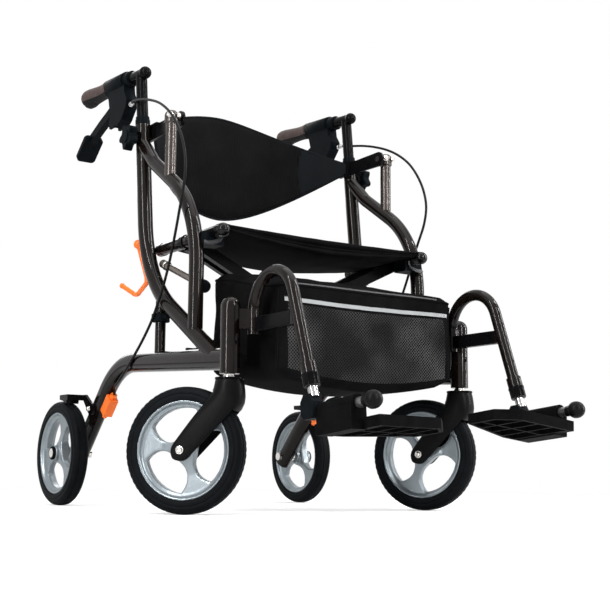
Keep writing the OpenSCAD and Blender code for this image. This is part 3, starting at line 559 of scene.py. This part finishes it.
# STORAGE BAG
# A zipped nylon bag under the front of the seat, hung on loops from the lower rails. Its sides and
# bottom sag, its front is open mesh, and a grey reflective tape runs under the lid.
nylon = finish("bag_nylon", (0.0052, 0.0052, 0.0056), 0.55, specular=0.002, spread=0.3, patch=25,
               grain=1900, depth=0.0003, strength=0.5)
bag_net = finish("bag_net", (0.004, 0.004, 0.0044), 0.5, specular=0.03, grain=1500)
tree = bag_net.node_tree
strands = []
for lean in (45, -45):
    tilt = tree.nodes.new("ShaderNodeMapping")
    tilt.inputs["Rotation"].default_value = (0, math.radians(lean), 0)
    tree.links.new(tree.nodes["Texture Coordinate"].outputs["Object"], tilt.inputs["Vector"])
    bands = tree.nodes.new("ShaderNodeTexWave")
    bands.inputs["Scale"].default_value = 78
    bands.inputs["Distortion"].default_value = 0.3
    tree.links.new(tilt.outputs["Vector"], bands.inputs["Vector"])
    thin = tree.nodes.new("ShaderNodeMapRange")
    thin.inputs["From Min"].default_value = 0.72
    thin.inputs["From Max"].default_value = 0.95
    tree.links.new(bands.outputs["Fac"], thin.inputs["Value"])
    strands.append(thin)
net = tree.nodes.new("ShaderNodeMath")
net.operation = "MAXIMUM"
tree.links.new(strands[0].outputs["Result"], net.inputs[0])
tree.links.new(strands[1].outputs["Result"], net.inputs[1])
# painted highlights: a broad noise lights the net's strands in patches, as glints on the mesh; where it is
# low the strands stay dark
glint_cloud = tree.nodes.new("ShaderNodeTexNoise")
glint_cloud.inputs["Scale"].default_value = 9
glint_cloud.inputs["Detail"].default_value = 2
tree.links.new(tree.nodes["Texture Coordinate"].outputs["Object"], glint_cloud.inputs["Vector"])
glint = tree.nodes.new("ShaderNodeMapRange")
glint.inputs["From Min"].default_value = 0.38
glint.inputs["From Max"].default_value = 0.78
glint.inputs["To Min"].default_value = 0.14
tree.links.new(glint_cloud.outputs["Fac"], glint.inputs["Value"])
glinting_strands = tree.nodes.new("ShaderNodeMath")
glinting_strands.operation = "MULTIPLY"
tree.links.new(net.outputs[0], glinting_strands.inputs[0])
tree.links.new(glint.outputs["Result"], glinting_strands.inputs[1])
thread = tree.nodes.new("ShaderNodeMix")
thread.data_type = "RGBA"
thread.inputs["A"].default_value = (0.0025, 0.0025, 0.0028, 1)
thread.inputs["B"].default_value = (0.1, 0.1, 0.098, 1)
tree.links.new(glinting_strands.outputs[0], thread.inputs["Factor"])
tree.links.new(thread.outputs["Result"], tree.nodes["Principled BSDF"].inputs["Base Color"])
net_bump = tree.nodes.new("ShaderNodeBump")
net_bump.inputs["Strength"].default_value = 0.7
net_bump.inputs["Distance"].default_value = 0.0008
tree.links.new(net.outputs[0], net_bump.inputs["Height"])
tree.links.new(net_bump.outputs["Normal"], tree.nodes["Principled BSDF"].inputs["Normal"])
reflective = finish("reflective_tape", (0.31, 0.32, 0.325), 0.4, specular=0.5, spread=0.1, grain=2200)
zip_grey = finish("zip_grey", (0.085, 0.085, 0.088), 0.35, metal=0.3, specular=0.4, spread=0.4,
                  patch=900, grain=2200)

bag_middle = Vector((0, -106))
bag_plan = [(-187, -181), (-184, -189), (-176, -194.5), (176, -194.5), (184, -189), (187, -181),
            (210.5, -30), (208, -21), (200, -18), (-200, -18), (-208, -21), (-210.5, -30)]
bag_levels = [0, 0.025, 0.05, 0.08, 0.12, 0.17, 0.22, 0.28, 0.34, 0.4, 0.46, 0.52, 0.58, 0.64, 0.7,
              0.745, 0.79, 0.83, 0.87, 0.9, 0.93, 0.96, 0.98, 1.0]
# the net fills the front wall up to the tape, between the two corner bindings
net_half, net_front = 172, -194
net_low, net_high = 0.08, 0.745


def bag_ring(step):
    """Points round the plan of the bag, about step millimetres apart."""
    ring = []
    for i, start in enumerate(bag_plan):
        a, b = Vector(start), Vector(bag_plan[(i + 1) % len(bag_plan)])
        parts = max(1, round((b - a).length / step))
        ring += [a.lerp(b, k / parts) for k in range(parts)]
    return ring


def bag_low(x):
    """Height of the bottom seam, which sags in the middle."""
    return 203 + 24 * min(1, abs(x) / 195) ** 2


def bag_high(x, y):
    """Height of the top edge, which rises from the front to the back where the bag hangs."""
    back = min(1, max(0, (y + 186) / 160))
    return 380 - 4 * (abs(x) / 200) ** 4 + 29 * back * back * (3 - 2 * back)


def bag_skin(p, t):
    """A point of the bag's wall over plan point p, with t from the bottom seam to the top."""
    out = (p - bag_middle).normalized()
    z = bag_low(p.x) + t * (bag_high(p.x, p.y) - bag_low(p.x))
    front = max(0, 1 - (p.x / 185) ** 2) if p.y < -188 else 0
    crease = 3.2 * noise.noise(Vector((p.x / 38 + z / 90, p.y / 38, z / 60))) + \
        1.3 * noise.noise(Vector((p.x / 13 - z / 30, p.y / 13, z / 26)))
    belly = 4.5 * front * math.sin(math.pi * min(1, t * 1.12)) ** 0.8 - 2.8
    tuck = 14 * max(0, 1 - t / 0.08) ** 2 + 13 * max(0, (t - 0.9) / 0.1) ** 2.2
    push = belly + crease * (1 - abs(2 * t - 1) ** 4) - tuck
    return chair(p.x + out.x * push, p.y + out.y * push, z)


points, kinds = [], []
plan = bag_ring(7)
count = len(plan)
for t in bag_levels:
    points += [bag_skin(p, t) for p in plan]
faces = ring_faces(len(bag_levels), count)
for t in bag_levels[:-1]:
    for k in range(count):
        middle = (plan[k] + plan[(k + 1) % count]) / 2
        on_net = middle.y < net_front and abs(middle.x) < net_half and net_low <= t < net_high
        kinds.append(1 if on_net else 0)
# sagging bottom and soft lid close the shell with rings that shrink to the middle
for start, rise in ((0, -1), (len(bag_levels) - 1, 1)):
    ring = [start * count + k for k in range(count)]
    for share in (0.93, 0.84, 0.72, 0.58, 0.43, 0.28, 0.14, 0.05):
        fresh = []
        for k in range(count):
            rim = points[start * count + k]
            spot = chair(bag_middle.x, bag_middle.y, 300).lerp(rim, share)
            x, y = 1000 * (spot.x - chair(0, 0, 0).x), 1000 * (spot.y - chair(0, 0, 0).y)
            ripple = 4 * noise.noise(Vector((x / 45, y / 45, 4.2)))
            if rise > 0:
                spot.z = (bag_high(x, y) + (3 + ripple) * (1 - share * share)) / 1000
            else:
                spot.z = (bag_low(x) - 2.5 * (1 - share * share)) / 1000
            fresh.append(len(points))
            points.append(spot)
        for k in range(count):
            n = (k + 1) % count
            quad = (ring[k], ring[n], fresh[n], fresh[k])
            faces.append(quad if rise > 0 else quad[::-1])
            kinds.append(0)
        ring = fresh
    faces.append(tuple(ring) if rise > 0 else tuple(ring[::-1]))
    kinds.append(0)
bag = dress(mesh_piece("bag", points, faces, smooth=70), nylon, bag_net)
bag.data.polygons.foreach_set("material_index", kinds)
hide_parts("storage_bag")


def on_bag(piece):
    """Fixes a piece of the bag to the right frame and gives it a mesh of its own; the real bag narrows when
    the chair folds.
    """
    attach(piece, "right_frame")
    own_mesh(piece)


def bag_band(name, t, tall, lift, reach):
    """A flat tape sewn on the front of the bag at level t."""
    run = [p for p in bag_ring(7) if p.y < -180 and abs(p.x) <= reach]
    points = []
    for p in run:
        skin = bag_skin(p, t)
        out = (p - bag_middle).normalized()
        push = Vector((out.x, out.y, 0)) * lift / 1000
        for dz, out_by in ((tall / 2, 1), (-tall / 2, 1), (-tall / 2, -1), (tall / 2, -1)):
            points.append(skin + push * out_by + Vector((0, 0, dz / 1000)))
    return mesh_piece(name, points, ring_faces(len(run), 4) + end_faces(len(run), 4))


on_bag(bag)
on_bag(dress(bag_band("bag_tape", 0.79, 6.5, 0.9, 178), reflective))
on_bag(dress(bag_band("bag_zip", 0.955, 4.5, 1.2, 160), zip_grey))
lid_line = [bag_skin(p, 0.94) for p in plan]
on_bag(dress(sleeve_mesh("bag_lid_piping", lid_line + lid_line[:1], ring_outline(0.0024, 8)), nylon))
loop_path = ((140, 243), (194, 246), (205, 253), (215, 255), (228, 254))
loop_section = [(0.0015, 0.009), (-0.0015, 0.009), (-0.0015, -0.009), (0.0015, -0.009)]
for side, turn in (("right", -1), ("left", 1)):
    seam = [bag_skin(Vector((turn * 185, -187)), t / 20) for t in range(1, 19)]
    on_bag(dress(sleeve_mesh(side + "_bag_binding", seam, ring_outline(0.0028, 8)), nylon))
    for end, y in (("front", -112), ("back", -62)):
        strap = [chair(turn * x, y, z) for x, z in loop_path]
        loop = sleeve_mesh(f"{side}_bag_loop_{end}", strap, loop_section)
        on_bag(dress(loop, nylon))

# CASTERS
# Each front wheel swivels under its head tube in a broad black fork. The fork has a black lip and a
# bright stem washer at the top, and a bright axle bolt through its legs.
wheel_r = 101.6
caster_x, stem_y, caster_trail = 245, -144, 73
caster_swivel = {"right": math.radians(38), "left": math.radians(23)}
fork_half, crown_rows = 25, 3
room_shape = [(0, -18.5), (106.6, -18.5), (106.6, 18.5), (0, 18.5)]
lip_shape = [(0, 213.2), (22.4, 213.2), (23.6, 214), (23.6, 216.2), (22.8, 217), (8, 217.2), (8, 250),
             (0, 250)]
washer_shape = [(8.2, 217.4), (10, 217.4), (10.4, 217.8), (10.4, 219.4), (10, 220), (9.4, 220), (9.4, 222),
                (8.2, 222), (8.2, 217.4)]
shaft_shape = [(0, -25.4), (4, -25.4), (4, 25.4), (0, 25.4)]
fork_black = finish("fork_black", (0.0042, 0.0042, 0.0046), 0.34, specular=0.05, grain=1800, depth=0.0001)
rim_silver = finish("rim_silver", (0.225, 0.258, 0.278), 0.3, metal=0.6, specular=0.5, spread=0.05,
                    patch=40, grain=2200, depth=0.00004)


def melt(piece):
    """Rounds a cast piece all over, as metal leaves the mould."""
    cells = piece.modifiers.new("cells", "REMESH")
    cells.mode = "VOXEL"
    cells.voxel_size = 0.0014
    cells.use_smooth_shade = True
    calm = piece.modifiers.new("calm", "SMOOTH")
    calm.factor = 0.5
    calm.iterations = 9
    return piece


# outline of the fork from its crown to the end of its legs: back edge, front edge and squareness
fork_rows = [((21.6, 214), (-21.6, 214), 2.0), ((22.6, 213), (-22.6, 213), 2.0),
             ((23.6, 206), (-24.2, 205), 2.1), ((25, 199), (-25.2, 196), 2.2),
             ((28.6, 191), (-25.4, 186), 2.5), ((36, 180.5), (-23.4, 176), 2.9),
             ((45, 168.6), (-18, 166.5), 3.5), ((54, 156.7), (-7, 155.6), 4.2),
             ((63, 144.8), (8, 140.6), 4.8), ((72, 132.9), (24, 125), 5.2),
             ((81, 120.9), (40, 109.3), 5.6), ((86.9, 113), (59.1, 90.2), 6),
             ((89.9, 107.7), (63.7, 86.2), 6), ((91, 102.1), (68.9, 84.1), 6),
             ((90.2, 96.3), (74.8, 83.7), 6), ((87.8, 91.4), (80.1, 85.1), 6),
             ((85, 88.2), (83.8, 87.2), 6)]


def fork_mesh(name, base, across, back, axle):
    """The fork: rounded sections from edge to edge, with the room for the wheel cut out."""
    points = []
    rows, sides = len(fork_rows), 48
    for i, (rear, front, square) in enumerate(fork_rows):
        middle = (Vector(rear) + Vector(front)) / 2
        reach = (Vector(rear) - Vector(front)) / 2
        wide = reach.length + 0.3 if i < crown_rows else fork_half
        for k in range(sides):
            a = 2 * math.pi * k / sides
            c, d = math.cos(a), math.sin(a)
            x = wide * math.copysign(abs(c) ** (2 / square), c)
            w = math.copysign(abs(d) ** (2 / square), d)
            spot = across * x + back * (middle.x + w * reach.x) + Vector((0, 0, middle.y + w * reach.y))
            points.append(base + spot / 1000)
    piece = mesh_piece(name, points, ring_faces(rows, sides) + end_faces(rows, sides))
    room = turned(name + "_room", room_shape, axle, across, 96)
    cut = piece.modifiers.new("wheel_room", "BOOLEAN")
    cut.operation = "DIFFERENCE"
    cut.solver = "EXACT"
    cut.object = room
    shaped = bpy.data.meshes.new_from_object(piece.evaluated_get(bpy.context.evaluated_depsgraph_get()))
    piece.modifiers.clear()
    piece.data = shaped
    for face in shaped.polygons:
        face.use_smooth = True
    shaped.set_sharp_from_angle(angle=math.radians(38))
    bpy.data.objects.remove(room)
    return piece


def caster_axle(side, turn):
    """Middle of a front wheel, which trails behind its stem, and the way that its axle runs."""
    heading = caster_swivel[side]
    along = Vector((math.cos(heading), math.sin(heading), 0))
    axle = chair(turn * caster_x - caster_trail * math.sin(heading),
                 stem_y + caster_trail * math.cos(heading), wheel_r)
    return axle, along


for side, turn in (("right", -1), ("left", 1)):
    melt(dress(node[side + "_caster_rim"], rim_silver))
    body = side + "_fork"
    base = chair(turn * caster_x, stem_y, 0)
    axle, along = caster_axle(side, turn)
    behind = Vector((-along.y, along.x, 0))
    fork = fork_mesh(side + "_fork_body", base, along, behind, axle)
    fit(fork, fork_black, body)
    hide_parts(side + "_caster_fork")
    fit(turned(side + "_fork_lip", lip_shape, base, (0, 0, 1), 40), pole_black, body)
    fit(turned(side + "_stem_washer", washer_shape, base, (0, 0, 1), 32), bolt_steel, body)
    fit(turned(side + "_caster_shaft", shaft_shape, axle, along, 20), bolt_steel, body)
    for k, way in enumerate((-1, 1)):
        cap_bolt(f"{side}_caster_bolt_{k}", axle + along * way * 0.0258, along * way, 5.2, body)

# TYRES
# Solid black rubber tyres with a flat tread, a shoulder groove on each side and short cross cuts
# along both edges of the tread.
tyre_rubber = finish("tyre_rubber", (0.004, 0.0048, 0.0058), 0.5, specular=0.035, spread=0.25, patch=60,
                     grain=1200, depth=0.0002, strength=0.5)
tyre_profile = [(79.6, -14.6), (82, -15.2), (86, -15.6), (88.5, -15.4), (89.4, -14.6), (90.4, -15.2),
                (94.5, -14.6), (98, -12.9), (99.8, -10.8), (100.7, -8.9), (100.9, -6.4), (100.2, -6.0),
                (100.2, -5.2), (101.5, -4.8), (101.6, 0)]
tyre_profile += [(r, -w) for r, w in reversed(tyre_profile[:-1])]
tyre_cuts, cut_depth = 60, 0.6
rear_x, rear_y = 285, 433.6


def tyre(name, centre, along):
    """A tyre round an axle: the profile swept in a ring, with every third section notched."""
    along = Vector(along).normalized()
    lean = along.orthogonal().normalized()
    other = along.cross(lean)
    steps = tyre_cuts * 3
    points, faces = [], []
    for i in range(steps):
        a = 2 * math.pi * i / steps
        ray = lean * math.cos(a) + other * math.sin(a)
        for r, w in tyre_profile:
            cut = cut_depth if i % 3 == 0 and 98.5 < r < 101 and 6.3 < abs(w) < 12 else 0
            points.append(centre + ray * (r - cut) / 1000 + along * w / 1000)
    count = len(tyre_profile)
    for i in range(steps):
        n = (i + 1) % steps
        for k in range(count - 1):
            faces.append((i * count + k, n * count + k, n * count + k + 1, i * count + k + 1))
        faces.append((i * count + count - 1, n * count + count - 1, n * count, i * count))
    return mesh_piece(name, points, faces)


for side, turn in (("right", -1), ("left", 1)):
    axle, along = caster_axle(side, turn)
    front = tyre(side + "_front_tyre", axle, along)
    fit(front, tyre_rubber, side + "_caster_wheel")
    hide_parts(side + "_caster_tyre")
    back = tyre(side + "_back_tyre", chair(turn * rear_x, rear_y, wheel_r), (1, 0, 0))
    fit(back, tyre_rubber, side + "_rear_wheel")
    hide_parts(side + "_rear_tyre")

# REAR WHEELS AND BRAKES
# The back wheels run on bolts through the struts and have a black hub cap outside. A bent steel arm
# on each strut presses its shoe on the tyre when the orange adjuster is pulled by the cable.
orange_plastic = finish("orange_plastic", (0.95, 0.165, 0.012), 0.42, specular=0.4, spread=0.1, patch=60,
                        grain=1500, depth=0.0001)
cap_shape = [(5.6, 0), (13, 0), (13.6, 1.4), (13.2, 3), (11.5, 4.4), (10.5, 4.4), (10, 3.4), (5.6, 3.2)]
cap_x = 303.1
for side, turn in (("right", -1), ("left", 1)):
    melt(dress(node[side + "_rear_rim"], rim_silver))
    dress(node[side + "_rear_axle"], bolt_steel)
    dress(node[side + "_brake_arm"], brace_black)
    dress(node[side + "_adjuster"], orange_plastic)
    cap = turned(side + "_hub_cap", cap_shape, chair(turn * cap_x, rear_y, wheel_r), (turn, 0, 0), 32)
    fit(cap, moulded_black, side + "_rear_wheel")
    cap_bolt(side + "_brake_pivot", chair(turn * 268.6, 350, 186), (turn, 0, 0), 4.4, side + "_brake")

# STRAP HOOK
# A bright orange moulded hook behind the right upright, ending in a ball, for the strap that holds
# the chair closed when it is folded.
dress(node["strap_hook"], orange_plastic)

# FOOTRESTS
# Bronze bent tubes swing out on the head tubes, each with a black sleeve on its crossbar. A chrome leg
# slides in each below a black collar, with push buttons behind, and carries a hinge block, a rod with
# a rubber buffer, and the footplate.
leg_chrome = finish("leg_chrome", (0.46, 0.46, 0.47), 0.16, metal=1.0, spread=0.05, grain=2500,
                    depth=0.00001)
buffer_rubber = finish("buffer_rubber", (0.0045, 0.0045, 0.005), 0.36, specular=0.07, grain=1200,
                       depth=0.0001)
rod_grey = finish("rod_grey", (0.16, 0.16, 0.165), 0.3, metal=0.8, grain=1500)
plate_black = finish("plate_black", (0.0042, 0.0042, 0.0046), 0.5, specular=0.008, spread=0.3, patch=60,
                     grain=1300, depth=0.0002, strength=0.5)
leg_x = 212
leg_lean = math.radians(19.4)
leg_down = Vector((0, -math.sin(leg_lean), -math.cos(leg_lean)))
leg_behind = Vector((0, math.cos(leg_lean), -math.sin(leg_lean)))
foot_pitch = math.radians(5.5)
rod_back = Vector((0, math.cos(foot_pitch), -math.sin(foot_pitch)))
rod_up = Vector((0, math.sin(foot_pitch), math.cos(foot_pitch)))
collar_shape = [(12.2, 9), (13.1, 9), (13.4, 9.6), (13.4, 12), (12.9, 12.6), (12.9, 27), (12.3, 28.6),
                (8.3, 28.6)]
button_shape = [(0, 0.2), (2.4, 0.2), (2.4, 1.0), (1.8, 1.8), (0, 2.2)]
leg_shape = [(0, -80), (7.4, -80), (8, -79), (8, 46), (0, 46)]
rod_shape = [(0, -128), (8, -128), (8, -99), (6, -98.4), (6, 15), (0, 16)]
buffer_shape = [(0, -144.4), (4, -144.0), (8, -142.4), (11, -139.4), (13, -135), (13.5, -131), (13.2, -127),
                (11.6, -123.4), (9.5, -121.4), (8.6, -119), (8.4, -113), (0, -113)]
# the crossbar's sleeve is a rectangle with round corners
bar_height, bar_ends = 302, (-176, -275)
flat_wide, flat_tall, corner_r = 5.2, 10.2, 1.2
bar_edge = []
for sideways, upright, start in ((1, 1, 0), (-1, 1, 90), (-1, -1, 180), (1, -1, 270)):
    for step in range(4):
        a = math.radians(start + 30 * step)
        bar_edge.append((sideways * flat_wide + corner_r * math.cos(a),
                         upright * flat_tall + corner_r * math.sin(a)))
# the hinge block is moulded round the foot of the leg: its side, and slices with their inset edges
block_side = [(-12, -9), (-12, 14), (-6, 26), (12, 26), (20, 16), (20, -6), (14, -11), (-9, -11)]
block_slices = ((-20, 1.5), (-18.5, 0), (0.5, 0), (2, 1.5))
block_y, block_z = 4, 7
for side, turn in (("right", -1), ("left", 1)):
    swing, lower = side + "_swing_hanger", side + "_lower_leg"
    foot = chair(turn * leg_x, -318.5, 221)
    fit(turned(side + "_leg_collar", collar_shape, foot, leg_down, 32), pole_black, swing)
    points = [chair(turn * leg_x + x, y, bar_height + z) for y in bar_ends for x, z in bar_edge]
    faces = ring_faces(2, len(bar_edge)) + end_faces(2, len(bar_edge))
    fit(mesh_piece(side + "_bar_sleeve", points, faces), pole_black, swing)
    for k in range(3):
        spot = foot - leg_down * (0.024 + 0.022 * k) + leg_behind * 0.0098
        button = turned(f"{side}_leg_button_{k}", button_shape, spot, leg_behind, 16)
        fit(button, bolt_steel, swing)
    leg = turned(side + "_leg", leg_shape, foot, leg_down, 32)
    fit(leg, leg_chrome, lower)
    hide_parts(side + "_foot_tube")
    hinge = chair(turn * 203, -332, 156.4)
    fit(turned(side + "_hinge_rod", rod_shape, hinge, rod_back, 24), rod_grey, lower)
    fit(turned(side + "_buffer", buffer_shape, hinge, rod_back, 32), buffer_rubber, lower)
    soften(dress(node[side + "_footplate"], plate_black), 1.2)
    points, faces = [], []
    for x, inset in block_slices:
        for y, z in block_side:
            y -= inset * (1 if y > block_y else -1)
            z -= inset * (1 if z > block_z else -1)
            points.append(hinge + Vector((-turn * x / 1000, 0, 0)) + (rod_back * y + rod_up * z) / 1000)
    count, last = len(block_side), len(block_slices) - 1
    for i in range(last):
        for k in range(count):
            n = (k + 1) % count
            faces.append((i * count + k, (i + 1) * count + k, (i + 1) * count + n, i * count + n)[::-turn])
    faces.append(tuple(range(count))[::-turn])
    faces.append(tuple(last * count + k for k in range(count - 1, -1, -1))[::-turn])
    block = mesh_piece(side + "_hinge_block", points, faces, smooth=0)
    fit(block, moulded_black, lower)

# STAGE
# A white floor that keeps the chair's shadow, a white surround, and soft lamps like a studio's:
# a wide one overhead, three tall narrow strips in front, and a weak one behind.
floor = mesh_piece("floor", [(-30, -30, 0), (30, -30, 0), (30, 30, 0), (-30, 30, 0)], [(0, 1, 2, 3)])
floor_white = bpy.data.materials.new("floor_white")
floor_white.use_nodes = True
tree = floor_white.node_tree
shade = tree.nodes["Principled BSDF"]
shade.inputs["Base Color"].default_value = (0.86, 0.86, 0.86, 1)
shade.inputs["Roughness"].default_value = 0.9
shade.inputs["Specular IOR Level"].default_value = 0.0
shade.inputs["Emission Color"].default_value = (1, 1, 1, 1)
rays = tree.nodes.new("ShaderNodeLightPath")
lift = tree.nodes.new("ShaderNodeMath")
lift.operation = "MULTIPLY"
lift.inputs[1].default_value = 0.3
tree.links.new(rays.outputs["Is Camera Ray"], lift.inputs[0])
tree.links.new(lift.outputs[0], shade.inputs["Emission Strength"])
ground = tree.nodes.new("ShaderNodeTexCoord")
away = tree.nodes.new("ShaderNodeVectorMath")
away.operation = "LENGTH"
tree.links.new(ground.outputs["Object"], away.inputs[0])
fade = tree.nodes.new("ShaderNodeMapRange")
fade.interpolation_type = "SMOOTHSTEP"
fade.inputs["From Min"].default_value = 0.7
fade.inputs["From Max"].default_value = 1.9
tree.links.new(away.outputs["Value"], fade.inputs["Value"])
faded = tree.nodes.new("ShaderNodeMath")
faded.operation = "MULTIPLY"
tree.links.new(fade.outputs["Result"], faded.inputs[0])
tree.links.new(rays.outputs["Is Camera Ray"], faded.inputs[1])
paper = tree.nodes.new("ShaderNodeEmission")
blend = tree.nodes.new("ShaderNodeMixShader")
tree.links.new(faded.outputs[0], blend.inputs["Fac"])
tree.links.new(shade.outputs[0], blend.inputs[1])
tree.links.new(paper.outputs[0], blend.inputs[2])
tree.links.new(blend.outputs[0], tree.nodes["Material Output"].inputs["Surface"])
dress(floor, floor_white)

surround = bpy.data.worlds.new("surround")
surround.use_nodes = True
bpy.context.scene.world = surround
tree = surround.node_tree
lit = tree.nodes["Background"]
lit.inputs["Color"].default_value = (1, 1, 1, 1)
lit.inputs["Strength"].default_value = 0.38
seen = tree.nodes.new("ShaderNodeBackground")
seen.inputs["Color"].default_value = (1, 1, 1, 1)
rays = tree.nodes.new("ShaderNodeLightPath")
first = tree.nodes.new("ShaderNodeMath")
first.operation = "MAXIMUM"
tree.links.new(rays.outputs["Is Camera Ray"], first.inputs[0])
tree.links.new(rays.outputs["Is Glossy Ray"], first.inputs[1])
both = tree.nodes.new("ShaderNodeMath")
both.operation = "MAXIMUM"
tree.links.new(first.outputs[0], both.inputs[0])
tree.links.new(rays.outputs["Is Transmission Ray"], both.inputs[1])
pick = tree.nodes.new("ShaderNodeMixShader")
tree.links.new(both.outputs[0], pick.inputs["Fac"])
tree.links.new(lit.outputs[0], pick.inputs[1])
tree.links.new(seen.outputs[0], pick.inputs[2])
tree.links.new(pick.outputs[0], tree.nodes["World Output"].inputs["Surface"])

for name, place, aim, wide, tall, watts in (
        ("top_lamp", (0, -300, 2900), (0, 0, 300), 2.2, 2.2, 24),
        ("right_strip", (-1700, -500, 1300), (-150, 0, 450), 0.06, 2.2, 37),
        ("middle_strip", (300, -2300, 1500), (0, 0, 450), 0.07, 2.2, 47),
        ("left_strip", (1700, -900, 1300), (100, 0, 450), 0.06, 2.2, 37),
        ("back_lamp", (500, 2300, 1700), (0, 100, 500), 1.6, 1.2, 16)):
    lamp = bpy.data.lights.new(name, "AREA")
    lamp.shape = "RECTANGLE"
    lamp.size, lamp.size_y, lamp.energy = wide, tall, watts
    stand = bpy.data.objects.new(name, lamp)
    stand.location = chair(*place)
    stand.rotation_euler = (chair(*aim) - chair(*place)).to_track_quat("-Z", "Y").to_euler()
    bpy.context.scene.collection.objects.link(stand)

bpy.context.scene.view_settings.view_transform = "Standard"
